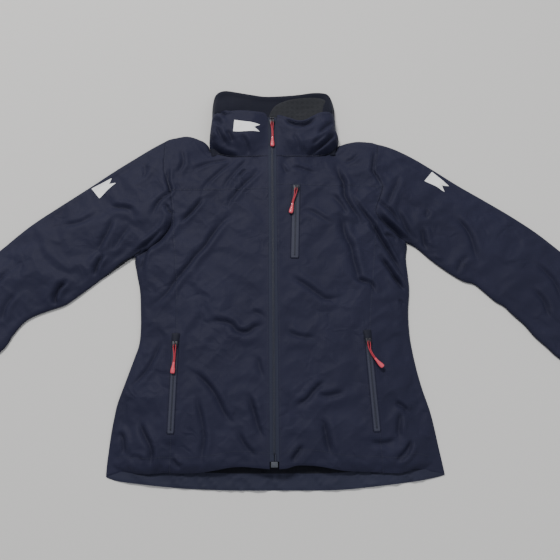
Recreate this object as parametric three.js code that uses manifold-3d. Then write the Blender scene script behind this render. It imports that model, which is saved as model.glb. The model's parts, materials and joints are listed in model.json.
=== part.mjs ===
// Foul weather jacket, lying flat on its back, front up, zips closed, sleeves spread.
// Frame: millimetres, +Z up off the surface it lies on, +Y towards the collar,
// +X towards the wearer's left.
// Origin: underside of the back panel, straight below the bottom end of the front zip.
import * as THREE from 'three';
import { mergeVertices } from 'three/addons/utils/BufferGeometryUtils.js';
import Module from 'manifold-3d';

const wasm = await Module();
wasm.setup();

// ---------- driving dimensions ----------
const SHELL_T = 1.2;            // shell fabric with its membrane and seam tape
const LINING_T = 0.9;           // lining fabric
const LAYER_GAP = 0.4;          // clearance between stacked layers
const GAP = 0.35;               // clearance left at seams
const FRONT_Z = 24;             // top of the flat part of the front
const FRONT_BASE_Z = FRONT_Z - SHELL_T;
const LINING_Z = 20;            // top of the front lining
const BAG_Z = 22.2;             // top of the pocket bags and storm flap
const EDGE_Z = 5.2;             // top of the side panels at the side folds
const ZIP_W = 15.2;             // main zip strip, both tapes
const ZIP_BOTTOM_Y = 6.5;       // main zip tapes
const ZIP_TOP_Y = 642;
const FRONT_EDGE_X = ZIP_W / 2 + GAP;   // fabric edge beside the main zip
const NECK_Y = 557;             // neck seam
const YOKE_Y = 488;             // seam under the front yokes
const SLEEVE_H = 17;            // a sleeve's height lying flat
const SLEEVE_DIR = Math.atan2(-0.632, 0.775);   // left sleeve, downwards from +X

const SIDES = [['left', 1], ['right', -1]];     // wearer's side, sign of x

// ---------- materials ----------
const FINISH = {
  shell: { color: 0x2b2e40, roughness: 0.7 },
  trim: { color: 0x242736, roughness: 0.7 },
  cuffTab: { color: 0x242736, roughness: 0.6 },
  lining: { color: 0x24262b, roughness: 0.85 },
  fleece: { color: 0x2f3033, roughness: 0.95 },
  pocketMesh: { color: 0x2a2c33, roughness: 0.9 },
  zipTape: { color: 0x343741, roughness: 0.7 },
  zipCoil: { color: 0x343741, roughness: 0.5 },
  greyPlastic: { color: 0x65676c, roughness: 0.5 },
  pin: { color: 0x65676c, roughness: 0.45, metalness: 0.2 },
  metal: { color: 0x8f9094, roughness: 0.35, metalness: 0.9 },
  coral: { color: 0xd9626c, roughness: 0.55 },
  cord: { color: 0x191a1d, roughness: 0.8 },
  blackPlastic: { color: 0x191a1d, roughness: 0.5 },
  emblem: { color: 0xe9e9ea, roughness: 0.6 },
};

const jacket = new THREE.Group();

// ---------- scene helpers ----------
function add(name, geometry, finish, parent = jacket) {
  const mesh = new THREE.Mesh(geometry, new THREE.MeshStandardMaterial(finish));
  mesh.name = name;
  parent.add(mesh);
  return mesh;
}

function addHolder(x, y, z, turn, parent = jacket) {
  const holder = new THREE.Group();
  holder.position.set(x, y, z);
  holder.rotation.z = turn;
  parent.add(holder);
  return holder;
}

// ---------- outline helpers, on lists of [x, y] ----------
const shift = (points, dx, dy = 0) => points.map(([x, y]) => [x + dx, y + dy]);
const mirror = points => points.map(([x, y]) => [-x, y]).reverse();
const onSide = (sign, points) => (sign > 0 ? points : mirror(points));

// Whole outline from a left half that starts and ends on the centre line.
const wholeOutline = half => [...half, ...mirror(half.slice(1, -1))];

// Points at even distances along a polyline.
function resample(points, steps) {
  const distances = [0];
  for (let i = 1; i < points.length; i++) {
    const [x0, y0] = points[i - 1];
    const [x1, y1] = points[i];
    distances.push(distances[i - 1] + Math.hypot(x1 - x0, y1 - y0));
  }
  const total = distances.at(-1);
  const result = [];
  for (let k = 0; k <= steps; k++) {
    const distance = total * k / steps;
    let i = 1;
    while (i < points.length - 1 && distances[i] < distance) i++;
    const part = (distance - distances[i - 1]) / (distances[i] - distances[i - 1]);
    const [x0, y0] = points[i - 1];
    const [x1, y1] = points[i];
    result.push([x0 + part * (x1 - x0), y0 + part * (y1 - y0)]);
  }
  return result;
}

// ---------- solid helpers ----------
function plate(points, bottom, top) {
  const shape = new THREE.Shape(points.map(([x, y]) => new THREE.Vector2(x, y)));
  const solid = new THREE.ExtrudeGeometry(shape, { depth: top - bottom, bevelEnabled: false });
  return solid.translate(0, 0, bottom);
}

// Box from its [low, high] range on each axis.
function bar([x0, x1], [y0, y1], [z0, z1]) {
  const box = new THREE.BoxGeometry(x1 - x0, y1 - y0, z1 - z0);
  return box.translate((x0 + x1) / 2, (y0 + y1) / 2, (z0 + z1) / 2);
}

function sideBar(sign, [x0, x1], yRange, zRange) {
  return bar(sign > 0 ? [x0, x1] : [-x1, -x0], yRange, zRange);
}

function toManifold(geometry) {
  const bare = geometry.clone();
  for (const name of Object.keys(bare.attributes)) {
    if (name !== 'position') bare.deleteAttribute(name);
  }
  const merged = mergeVertices(bare, 1e-4);
  const indices = merged.index.array;
  const kept = [];   // triangles that merging has not collapsed
  for (let i = 0; i < indices.length; i += 3) {
    const [a, b, c] = indices.slice(i, i + 3);
    if (a !== b && b !== c && a !== c) kept.push(a, b, c);
  }
  return new wasm.Manifold(new wasm.Mesh({
    numProp: 3,
    vertProperties: new Float32Array(merged.attributes.position.array),
    triVerts: new Uint32Array(kept),
  }));
}

function fromManifold(solid) {
  const mesh = solid.getMesh();
  const geometry = new THREE.BufferGeometry();
  const positions = new Float32Array(mesh.vertProperties);
  geometry.setAttribute('position', new THREE.BufferAttribute(positions, 3));
  geometry.setIndex(new THREE.BufferAttribute(new Uint32Array(mesh.triVerts), 1));
  return geometry;
}

const union = (...parts) => fromManifold(parts.map(toManifold).reduce((a, b) => a.add(b)));
const cut = (body, tool) => fromManifold(toManifold(body).subtract(toManifold(tool)));

// Closed mesh from four-cornered faces, turned outwards by the sign of its volume.
function closedMesh(positions, quads) {
  const indices = quads.flatMap(([a, b, c, d]) => [a, b, c, a, c, d]);
  const point = i => new THREE.Vector3().fromArray(positions, 3 * i);
  let volume = 0;
  for (let i = 0; i < indices.length; i += 3) {
    const [a, b, c] = indices.slice(i, i + 3).map(point);
    volume += a.dot(b.cross(c));
  }
  if (volume < 0) {
    for (let i = 0; i < indices.length; i += 3) {
      [indices[i], indices[i + 1]] = [indices[i + 1], indices[i]];
    }
  }
  const geometry = new THREE.BufferGeometry();
  geometry.setAttribute('position', new THREE.BufferAttribute(new Float32Array(positions), 3));
  geometry.setIndex(indices);
  return geometry;
}

// Draped sheet between two edge curves. Its top is at topAt(u), u running 0 to 1 across it.
function sheet(edgeA, edgeB, across, along, topAt, thickness) {
  const pointsA = resample(edgeA, along);
  const pointsB = resample(edgeB, along);
  const positions = [];
  for (const layer of [0, 1]) {     // 0 is the top face, 1 the underside
    for (let j = 0; j <= along; j++) {
      const [xA, yA] = pointsA[j];
      const [xB, yB] = pointsB[j];
      for (let i = 0; i <= across; i++) {
        const u = i / across;
        const z = topAt(u) - layer * thickness;
        positions.push(xA + u * (xB - xA), yA + u * (yB - yA), z);
      }
    }
  }
  const at = (layer, i, j) => (layer * (along + 1) + j) * (across + 1) + i;
  const quads = [];
  for (let j = 0; j < along; j++) {
    for (let i = 0; i < across; i++) {
      quads.push([at(0, i, j), at(0, i + 1, j), at(0, i + 1, j + 1), at(0, i, j + 1)]);
      quads.push([at(1, i, j), at(1, i, j + 1), at(1, i + 1, j + 1), at(1, i + 1, j)]);
    }
  }
  for (let i = 0; i < across; i++) {
    quads.push([at(0, i, 0), at(1, i, 0), at(1, i + 1, 0), at(0, i + 1, 0)]);
    quads.push([at(0, i, along), at(0, i + 1, along), at(1, i + 1, along), at(1, i, along)]);
  }
  for (let j = 0; j < along; j++) {
    quads.push([at(0, 0, j), at(0, 0, j + 1), at(1, 0, j + 1), at(1, 0, j)]);
    quads.push([at(0, across, j), at(1, across, j), at(1, across, j + 1), at(0, across, j + 1)]);
  }
  return closedMesh(positions, quads);
}

// ---------- outlines: [x, y] down the wearer's left half ----------
const ARMHOLE = [
  [206, 600], [204, 560], [199, 520], [192, 487], [188, 465], [189, 441], [206, 402], [241, 366],
];
const SIDE = [
  [241, 366], [240, 330], [238, 295], [235, 255], [234, 225], [237, 190], [244, 155],
  [251, 121], [260, 86], [266, 54], [269, 25], [272, 2], [273, -16],
];
const PRINCESS_SEAM = resample([
  [189, 430], [176, 400], [172, 330], [170, 223], [170, 120], [170, 56], [171, -11],
], 12);
const ARMHOLE_UP = ARMHOLE.slice(0, -1).reverse();   // upwards, without the shared foot

// ---------- back ----------
const INNER_Z = SHELL_T + LAYER_GAP;   // underside of what lies on the back panel
const FACING_T = 1;

const BACK_HALF = [
  [0, -39], [70, -38.5], [115, -37.5], [156, -34], [197, -30], [238, -25], [265, -21], [276, -18],
  ...shift(SIDE.slice(0, -1).reverse(), 1.5),
  ...ARMHOLE_UP,
  [186, 611], [160, 612], [140, 605], [122, 590], [118, 578], [60, 578], [0, 577],
];
const BACK_LINING_HALF = [
  [0, -6], [120, -5], [238, 4], [262, 10],
  ...shift(SIDE.slice(0, -2).reverse(), -6, 2),
  ...shift(ARMHOLE_UP, -5, -3),
  [160, 600], [124, 574], [60, 572], [0, 571],
];
const HEM_FACING_HALF = [
  [0, -36], [70, -35.5], [156, -31], [238, -22], [262, -17],
  [262, -5], [238, -8], [120, -11], [0, -11],
];

add('back_panel', plate(wholeOutline(BACK_HALF), 0, SHELL_T), FINISH.shell);
add('back_lining', plate(wholeOutline(BACK_LINING_HALF), INNER_Z, INNER_Z + LINING_T),
  FINISH.lining);
add('hem_facing', plate(wholeOutline(HEM_FACING_HALF), INNER_Z, INNER_Z + FACING_T), FINISH.trim);

// ---------- front ----------
const DRAPE_POWER = 1.4;        // how late the side panels fall towards the side folds
const FLAP_HALF_W = 24;
const FLAP_T = 1.2;

const YOKE = [
  [FRONT_EDGE_X, YOKE_Y + GAP], [FRONT_EDGE_X, NECK_Y - GAP], [121, NECK_Y - GAP],
  [122.5, 578], [125, 592], [140, 605], [160, 612], [186, 611],
  ...ARMHOLE.filter(([, y]) => y > YOKE_Y + 1),
  [192.2, YOKE_Y + GAP],
];
const FRONT_PANEL = [
  [FRONT_EDGE_X, -4], [FRONT_EDGE_X, YOKE_Y - GAP], [191.8, YOKE_Y - GAP],
  [188, 465], [188.4, 441],
  ...shift(PRINCESS_SEAM, -GAP),
  [120, -10], [74, -3], [40, -1],
];
const SIDE_PANEL_INNER = shift(PRINCESS_SEAM, GAP);
const SIDE_PANEL_OUTER = [[190.6, 432], [207, 402], ...SIDE];
const FRONT_LINING = [
  [26, 12], [26, 548], [121, 548], [128, 572], [150, 597], [190, 596], [194, 520],
  [182, 470], [183, 441], [170, 400], [165, 330], [163, 223], [163, 56], [163, 12],
];

function sidePanel(sign) {
  const [inner, outer] = [SIDE_PANEL_INNER, SIDE_PANEL_OUTER]
    .map(edge => edge.map(([x, y]) => [sign * x, y]));
  const topAt = u => FRONT_Z - (FRONT_Z - EDGE_Z) * Math.pow(u, DRAPE_POWER);
  return sheet(inner, outer, 5, 12, topAt, SHELL_T);
}

for (const [side, sign] of SIDES) {
  add(`${side}_front_yoke`, plate(onSide(sign, YOKE), FRONT_BASE_Z, FRONT_Z), FINISH.shell);
  add(`${side}_front_panel`, plate(onSide(sign, FRONT_PANEL), FRONT_BASE_Z, FRONT_Z),
    FINISH.shell);
  add(`${side}_side_panel`, sidePanel(sign), FINISH.shell);
  add(`${side}_front_lining`,
    plate(onSide(sign, FRONT_LINING), LINING_Z - LINING_T, LINING_Z), FINISH.lining);
}
add('storm_flap', bar([-FLAP_HALF_W, FLAP_HALF_W], [10, 545], [BAG_Z - FLAP_T, BAG_Z]),
  FINISH.trim);

// ---------- collar: a tube lying flat, open at the top, its front parted by the zip ----------
const COLLAR_FRONT_Y = 652;     // top edge in front
const COLLAR_BACK_Y = 704;      // top edge behind
const COLLAR_HALF_W = 120;
const COLLAR_TOP_Z = 31;
const COLLAR_LINING_T = 1.6;
const COLLAR_LINING_DROP = 2;   // lining below the shell's top edges
const COLLAR_OVERLAP = 1;       // rear part starts this far inside the full part
const REAR_START = 4;           // half-profile points from here on make the back of the collar

// Half profile as [x, z], from the zip edge round to the back.
const collarProfile = inset => [
  [FRONT_EDGE_X, FRONT_Z - inset],
  [20, COLLAR_TOP_Z - 1 - inset],
  [60, COLLAR_TOP_Z - inset],
  [92, COLLAR_TOP_Z - inset],
  [COLLAR_HALF_W - 6 - inset, 25],
  [COLLAR_HALF_W - inset, 14],
  [COLLAR_HALF_W - 4 - inset, 6 + inset],
  [COLLAR_HALF_W - 20, 3.4 + inset],
];

// Wall between two half profiles and their mirror images, drawn out along +Y.
function collarWall(outer, inner, y0, y1) {
  const bothSides = half => [...half, ...mirror(half)];
  const outline = [...bothSides(outer), ...bothSides(inner).reverse()];
  return plate(outline, 0, y1 - y0).rotateX(Math.PI / 2).translate(0, y1, 0);
}

function collar({ inset, wall, bottomY, frontY, backY }) {
  const outer = collarProfile(inset);
  const inner = collarProfile(inset + wall);
  return union(
    collarWall(outer, inner, bottomY, frontY),
    collarWall(outer.slice(REAR_START), inner.slice(REAR_START), frontY - COLLAR_OVERLAP, backY),
  );
}

add('collar_shell', collar({
  inset: 0,
  wall: SHELL_T,
  bottomY: NECK_Y + GAP,
  frontY: COLLAR_FRONT_Y,
  backY: COLLAR_BACK_Y,
}), FINISH.shell);
add('collar_lining', collar({
  inset: SHELL_T + LAYER_GAP,
  wall: COLLAR_LINING_T,
  bottomY: NECK_Y + 1,
  frontY: COLLAR_FRONT_Y - COLLAR_LINING_DROP,
  backY: COLLAR_BACK_Y - COLLAR_LINING_DROP,
}), FINISH.fleece);

// Hanger loop: a strap with a foot at each end.
const LOOP_Y = [563, 569];
const LOOP_FOOT_Z = [6.6, 10.2];
add('hanger_loop', union(
  bar([-26, 26], LOOP_Y, [9.6, 10.8]),
  bar([-26, -22], LOOP_Y, LOOP_FOOT_Z),
  bar([22, 26], LOOP_Y, LOOP_FOOT_Z),
), FINISH.trim);

// ---------- zip sliders and pulls ----------
const SLIDER_PLATE_Z = 2.1;     // underside of the slider's top plate
const SLIDER_PLATE_T = 1.4;
const PIVOT_Y = -0.4;           // pull pivot, from the slider's origin
const PIVOT_Z = 4.9;
const PULL_CORD_Y = 8;          // pivot to the start of the cord
const PULL_CORD_PART = 0.62;    // cord's share of the pull's length
const GRIP_START_PART = 0.6;    // the grip begins a little before the cord ends
const GRIP_R = 2.2;

// Origin on the fabric face, +Y towards the top of the zip.
function sliderGeometry() {
  const plateY = [-6, 6];
  const flangeZ = [0.7, SLIDER_PLATE_Z + 0.2];
  const postX = [-1.5, 1.5];
  const postZ = [SLIDER_PLATE_Z + 1, 6.9];
  return union(
    bar([-5, 5], plateY, [SLIDER_PLATE_Z, SLIDER_PLATE_Z + SLIDER_PLATE_T]),
    bar([-5, -3.1], plateY, flangeZ),
    bar([3.1, 5], plateY, flangeZ),
    bar(postX, [-4.2, -2.8], postZ),
    bar(postX, [2.2, 3.6], postZ),
    bar(postX, [-4.2, 3.6], [6.0, 7.2]),   // bridge the pull hangs from
  );
}

// Pivot at the origin, hanging along -Y: rod, wire frame, cord and grip.
function pullGeometry(length) {
  const wireY = [-9, 0.5];
  const wireZ = [-0.55, 0.55];
  const cordLength = length * PULL_CORD_PART;
  const gripLength = length - PULL_CORD_Y - length * GRIP_START_PART - GRIP_R;
  return union(
    new THREE.CylinderGeometry(0.6, 0.6, 6.4, 8).rotateZ(Math.PI / 2),
    bar([-3.2, -2.1], wireY, wireZ),
    bar([2.1, 3.2], wireY, wireZ),
    bar([-3.2, 3.2], [-9.6, -8.4], wireZ),
    new THREE.CylinderGeometry(1.1, 1.1, cordLength, 8)
      .translate(0, -PULL_CORD_Y - cordLength / 2, 0),
    new THREE.CapsuleGeometry(GRIP_R, gripLength, 3, 10)
      .translate(0, -length + GRIP_R + gripLength / 2, 0),
  );
}

function addSlider(prefix, x, y, z, turn, pullLength) {
  const holder = addHolder(x, y, z, turn);
  add(`${prefix}_slider`, sliderGeometry(), FINISH.metal, holder);
  const pull = add(`${prefix}_pull`, pullGeometry(pullLength), FINISH.coral, holder);
  pull.position.set(0, PIVOT_Y, PIVOT_Z);
}

// ---------- main zip ----------
const ZIP_CENTRE_GAP = 0.25;    // centre line to each tape
const COIL_W = 1.7;
const COIL_H = 1.4;
const COIL_Z = FRONT_Z + 0.3;   // underside of the coils
const STOP_H = 1.6;
const FITTING_Z = [FRONT_Z + 0.4, FRONT_Z + 2];   // pin and the box's tongue

for (const [side, sign] of SIDES) {
  add(`main_zip_${side}_tape`, sideBar(sign, [ZIP_CENTRE_GAP, ZIP_W / 2],
    [ZIP_BOTTOM_Y, ZIP_TOP_Y], [FRONT_BASE_Z, FRONT_Z]), FINISH.zipTape);
  add(`main_zip_${side}_coil`, sideBar(sign, [ZIP_CENTRE_GAP, ZIP_CENTRE_GAP + COIL_W],
    [17, ZIP_TOP_Y - 4], [COIL_Z, COIL_Z + COIL_H]), FINISH.zipCoil);
  add(`main_zip_${side}_top_stop`, sideBar(sign, [0.6, 3.6],
    [ZIP_TOP_Y - 3.4, ZIP_TOP_Y - 1], [COIL_Z, COIL_Z + STOP_H]), FINISH.metal);
}
add('main_zip_bottom_box', union(
  bar([-5.5, 5.5], [-2.5, 6.1], [FRONT_BASE_Z - 0.5, FRONT_Z + 2.4]),
  bar([-4.5, -0.6], [5, 8.6], FITTING_Z),
), FINISH.greyPlastic);
add('main_zip_insertion_pin', bar([0.5, 2.6], [6.7, 16.4], FITTING_Z), FINISH.pin);
addSlider('main', 0, ZIP_TOP_Y - 12, FRONT_Z, 0, 54);

// ---------- pockets ----------
// Zips laid on the front: prefix, top x, y, bottom x, y, strip width, pull length.
const POCKET_ZIPS = [
  ['right_pocket', -166.5, 205, -167.5, 52, 10, 49],
  ['left_pocket', 160, 207, 166, 52, 10, 49],
  ['chest_pocket', 44, 496, 38.5, 352, 13, 52],
];
const POCKET_TAPE_Z = [0.35, 0.95];     // above the front
const POCKET_COIL_Z = [1.25, 2.25];
const POCKET_COIL_HALF_W = 1.5;
const POCKET_SLIDER_DROP = 9;           // top of the zip to its slider

for (const [name, topX, topY, bottomX, bottomY, width, pullLength] of POCKET_ZIPS) {
  const halfLength = Math.hypot(topX - bottomX, topY - bottomY) / 2;
  const turn = Math.atan2(bottomX - topX, topY - bottomY);
  const holder = addHolder((topX + bottomX) / 2, (topY + bottomY) / 2, FRONT_Z, turn);
  add(`${name}_zip_tape`,
    bar([-width / 2, width / 2], [-halfLength, halfLength], POCKET_TAPE_Z),
    FINISH.zipTape, holder);
  add(`${name}_zip_coil`,
    bar([-POCKET_COIL_HALF_W, POCKET_COIL_HALF_W], [-halfLength + 5, halfLength - 3],
      POCKET_COIL_Z),
    FINISH.zipCoil, holder);
  addSlider(name, topX + POCKET_SLIDER_DROP * Math.sin(turn),
    topY - POCKET_SLIDER_DROP * Math.cos(turn), FRONT_Z + POCKET_TAPE_Z[1], turn, pullLength);
}

// Bags hang inside, between shell and lining.
const BAG_T = 1.4;
const HAND_BAG = [[158, 226], [158, 36], [60, 36], [40, 60], [42, 200], [60, 226]];
const CHEST_BAG = [[30, 480], [30, 342], [128, 342], [140, 356], [140, 468], [128, 480]];

function addBag(name, outline) {
  add(`${name}_pocket_bag`, plate(outline, BAG_Z - BAG_T, BAG_Z), FINISH.pocketMesh);
}
for (const [side, sign] of SIDES) addBag(side, onSide(sign, HAND_BAG));
addBag('chest', CHEST_BAG);

// ---------- hem adjuster: cord in the hem, a lock at each side ----------
const CORD_R = 1.3;
const LOCK_AT = [213, 10, 8];
const CORD_POINTS = [   // x, y, z
  [-209, 10, 8], [-150, 8, 7.2], [-60, 7, 6.6], [60, 7, 6.6], [150, 8, 7.2], [209, 10, 8],
];

function drawcord() {
  const section = new THREE.Shape();
  section.absarc(0, 0, CORD_R, 0, 2 * Math.PI);
  return new THREE.ExtrudeGeometry(section, {
    steps: 24,
    extrudePath: new THREE.CatmullRomCurve3(CORD_POINTS.map(at => new THREE.Vector3(...at))),
    curveSegments: 4,
    bevelEnabled: false,
  });
}

// Barrel open at its outer end, with the plunger standing in it; +X outwards.
function addHemLock(side, sign) {
  const [x, y, z] = LOCK_AT;
  const holder = addHolder(sign * x, y, z, sign > 0 ? 0 : Math.PI);
  const body = cut(bar([-3, 11], [-5, 5], [-3, 3]), bar([0, 12], [-3.4, 3.4], [-1.8, 1.8]));
  add(`${side}_hem_lock_body`, body, FINISH.blackPlastic, holder);
  add(`${side}_hem_lock_plunger`, bar([5, 14.5], [-3, 3], [-1.4, 1.4]), FINISH.greyPlastic,
    holder);
}

add('hem_drawcord', drawcord(), FINISH.cord);
for (const [side, sign] of SIDES) addHemLock(side, sign);

// ---------- sleeves: each along +X of its own frame ----------
const SLEEVE_START = [215, 490];        // left sleeve's frame origin
const ELBOW_X = 300;                    // sleeve start to elbow seam
const CUFF_X = 612;                     // sleeve start to cuff end
const SLEEVE_BASE_Z = 0.2;
const LINING_SETBACK = 2;               // lining ends short of the elbow seam
const TUBE_RINGS = 3;                   // steps along a tube
const TUBE_SIDES = 20;                  // points round a tube
const SHELL_LAYER = { sideInset: 0, faceInset: 0, wall: SHELL_T };
const LINING_LAYER = { sideInset: 3, faceInset: 1.7, wall: LINING_T };
// Half width: end of stretch, its start, half width there, narrowing per mm.
const SLEEVE_TAPER = [
  [120, 0, 88, 0.015],
  [330, 120, 86, 0.012],
  [Infinity, 330, 83.5, 0.093],
];

// Space kept free for the arm to swing, spreading from the left shoulder.
const SWING_CENTRE = [193, 480];
const SWING = 18.6;                     // clearance at the armhole, degrees
const WEDGE_TOP_ANGLE = 84 - SWING;     // degrees from +X
const WEDGE_BOTTOM_ANGLE = -62.5 + SWING;
const WEDGE_OFFSET = 3;                 // wedge tip outwards of the swing centre
const WEDGE_LENGTH = 400;
const WEDGE_REACH = 500;                // towards the torso, and up and down

const TAB_T = 1.6;
const TAB_SETBACK = 26;                 // tab's middle line from the cuff end
const TAB_ROOT_Y = 30;
const TAB = [[-16, 0], [16, 0], [16, 52], [11, 60], [-11, 60], [-16, 52]];

function sleeveHalfWidth(x) {
  const [, start, halfWidth, narrowing] = SLEEVE_TAPER.find(([end]) => x < end);
  return halfWidth - (x - start) * narrowing;
}

// Flattened tube with a rounded-oblong section.
function sleeveTube(start, end, { sideInset, faceInset, wall }) {
  const bottom = SLEEVE_BASE_Z + faceInset;
  const top = SLEEVE_H - faceInset;
  const middle = (bottom + top) / 2;
  const halfHeight = (top - bottom) / 2;
  const rounded = (value, power) => Math.sign(value) * Math.pow(Math.abs(value), power);
  const positions = [];
  const addRing = (x, across, up) => {
    const first = positions.length / 3;
    for (let k = 0; k < TUBE_SIDES; k++) {
      const angle = 2 * Math.PI * k / TUBE_SIDES;
      const y = across * rounded(Math.cos(angle), 0.72);
      positions.push(x, y, middle + up * rounded(Math.sin(angle), 0.55));
    }
    return first;
  };
  const rings = [];   // first vertex of the outer and inner ring at each step
  for (let i = 0; i <= TUBE_RINGS; i++) {
    const x = start + (end - start) * i / TUBE_RINGS;
    const across = sleeveHalfWidth(x) - sideInset;
    rings.push([addRing(x, across, halfHeight), addRing(x, across - wall, halfHeight - wall)]);
  }
  const quads = [];
  for (let k = 0; k < TUBE_SIDES; k++) {
    const next = (k + 1) % TUBE_SIDES;
    for (let i = 0; i < TUBE_RINGS; i++) {
      const [outer, inner] = rings[i];
      const [outer1, inner1] = rings[i + 1];
      quads.push([outer + k, outer1 + k, outer1 + next, outer + next]);
      quads.push([inner + k, inner + next, inner1 + next, inner1 + k]);
    }
    const [outer, inner] = rings[0];
    const [outerEnd, innerEnd] = rings[TUBE_RINGS];
    quads.push([outer + k, outer + next, inner + next, inner + k]);
    quads.push([outerEnd + k, innerEnd + k, innerEnd + next, outerEnd + next]);
  }
  return closedMesh(positions, quads);
}

// Everything on the torso's side of two lines from the wedge tip, in the sleeve's own frame.
function swingWedge(sleeve, sign) {
  const [centreX, centreY] = SWING_CENTRE;
  const tipX = centreX + WEDGE_OFFSET;
  const farPoint = degrees => {
    const angle = degrees * Math.PI / 180;
    return [tipX + WEDGE_LENGTH * Math.cos(angle), centreY + WEDGE_LENGTH * Math.sin(angle)];
  };
  const outline = [
    [tipX, centreY],
    farPoint(WEDGE_TOP_ANGLE),
    [centreX - WEDGE_REACH, centreY + WEDGE_REACH],
    [centreX - WEDGE_REACH, centreY - WEDGE_REACH],
    farPoint(WEDGE_BOTTOM_ANGLE),
  ];
  const local = outline.map(([x, y]) =>
    sleeve.worldToLocal(new THREE.Vector3(sign * x, y, 0)).toArray());
  return plate(local, -5, 40);
}

function addSleeve(side, sign) {
  const turn = sign > 0 ? SLEEVE_DIR : Math.PI - SLEEVE_DIR;
  const sleeve = addHolder(sign * SLEEVE_START[0], SLEEVE_START[1], 0, turn);
  const wedge = swingWedge(sleeve, sign);
  const upperEnd = ELBOW_X - GAP;
  const forearmStart = ELBOW_X + GAP;
  const upper = cut(sleeveTube(-110, upperEnd, SHELL_LAYER), wedge);
  const upperLining = cut(sleeveTube(-100, upperEnd - LINING_SETBACK, LINING_LAYER), wedge);
  add(`${side}_upper_sleeve`, upper, FINISH.shell, sleeve);
  add(`${side}_upper_sleeve_lining`, upperLining, FINISH.lining, sleeve);
  add(`${side}_forearm_sleeve`, sleeveTube(forearmStart, CUFF_X, SHELL_LAYER), FINISH.shell,
    sleeve);
  add(`${side}_forearm_lining`,
    sleeveTube(forearmStart + LINING_SETBACK, CUFF_X - 12, LINING_LAYER), FINISH.lining, sleeve);

  // Hook-and-loop tab across the front of the cuff, its root on the sleeve's lower side.
  const tabHolder = addHolder(CUFF_X - TAB_SETBACK, -sign * TAB_ROOT_Y, SLEEVE_H + LAYER_GAP,
    sign > 0 ? 0 : Math.PI, sleeve);
  add(`${side}_cuff_tab`, plate(TAB, 0, TAB_T), FINISH.cuffTab, tabHolder);
}
for (const [side, sign] of SIDES) addSleeve(side, sign);

// ---------- emblems: plain swallow-tailed pennants ----------
const EMBLEM_T = 0.5;
const EMBLEM_LIFT = 0.3;        // clearance over the fabric
const SLEEVE_EMBLEM_Z = SLEEVE_H + EMBLEM_LIFT;

// Emblem centred on its position, tapering to a notched tail at +X.
function addEmblem(name, width, height, position, turn) {
  const tipX = width / 2 - 7;
  const tipY = height * 0.24;
  const outline = [
    [-width / 2, -height / 2], [tipX, -tipY], [width / 2 - 12, 0], [tipX, tipY],
    [-width / 2, height / 2],
  ];
  const emblem = add(name, plate(outline, 0, EMBLEM_T), FINISH.emblem);
  emblem.position.set(...position);
  emblem.rotation.z = turn;
}
addEmblem('collar_emblem', 46, 26, [-47, 616, COLLAR_TOP_Z + EMBLEM_LIFT], 0);
addEmblem('left_sleeve_emblem', 40, 24, [311, 505, SLEEVE_EMBLEM_Z], SLEEVE_DIR);
addEmblem('right_sleeve_emblem', 40, 24, [-317, 504, SLEEVE_EMBLEM_Z], -SLEEVE_DIR);

export default jacket;
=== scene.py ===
"""A zipped jacket with a stand-up collar, laid flat on the floor with its front facing up (+Z).

The collar points to +Y and the hem to -Y. The wearer's right is -X and the front zip lies on
x = 0. Shapes are worked out in millimetres and become metres when a mesh is made.
"""

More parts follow.
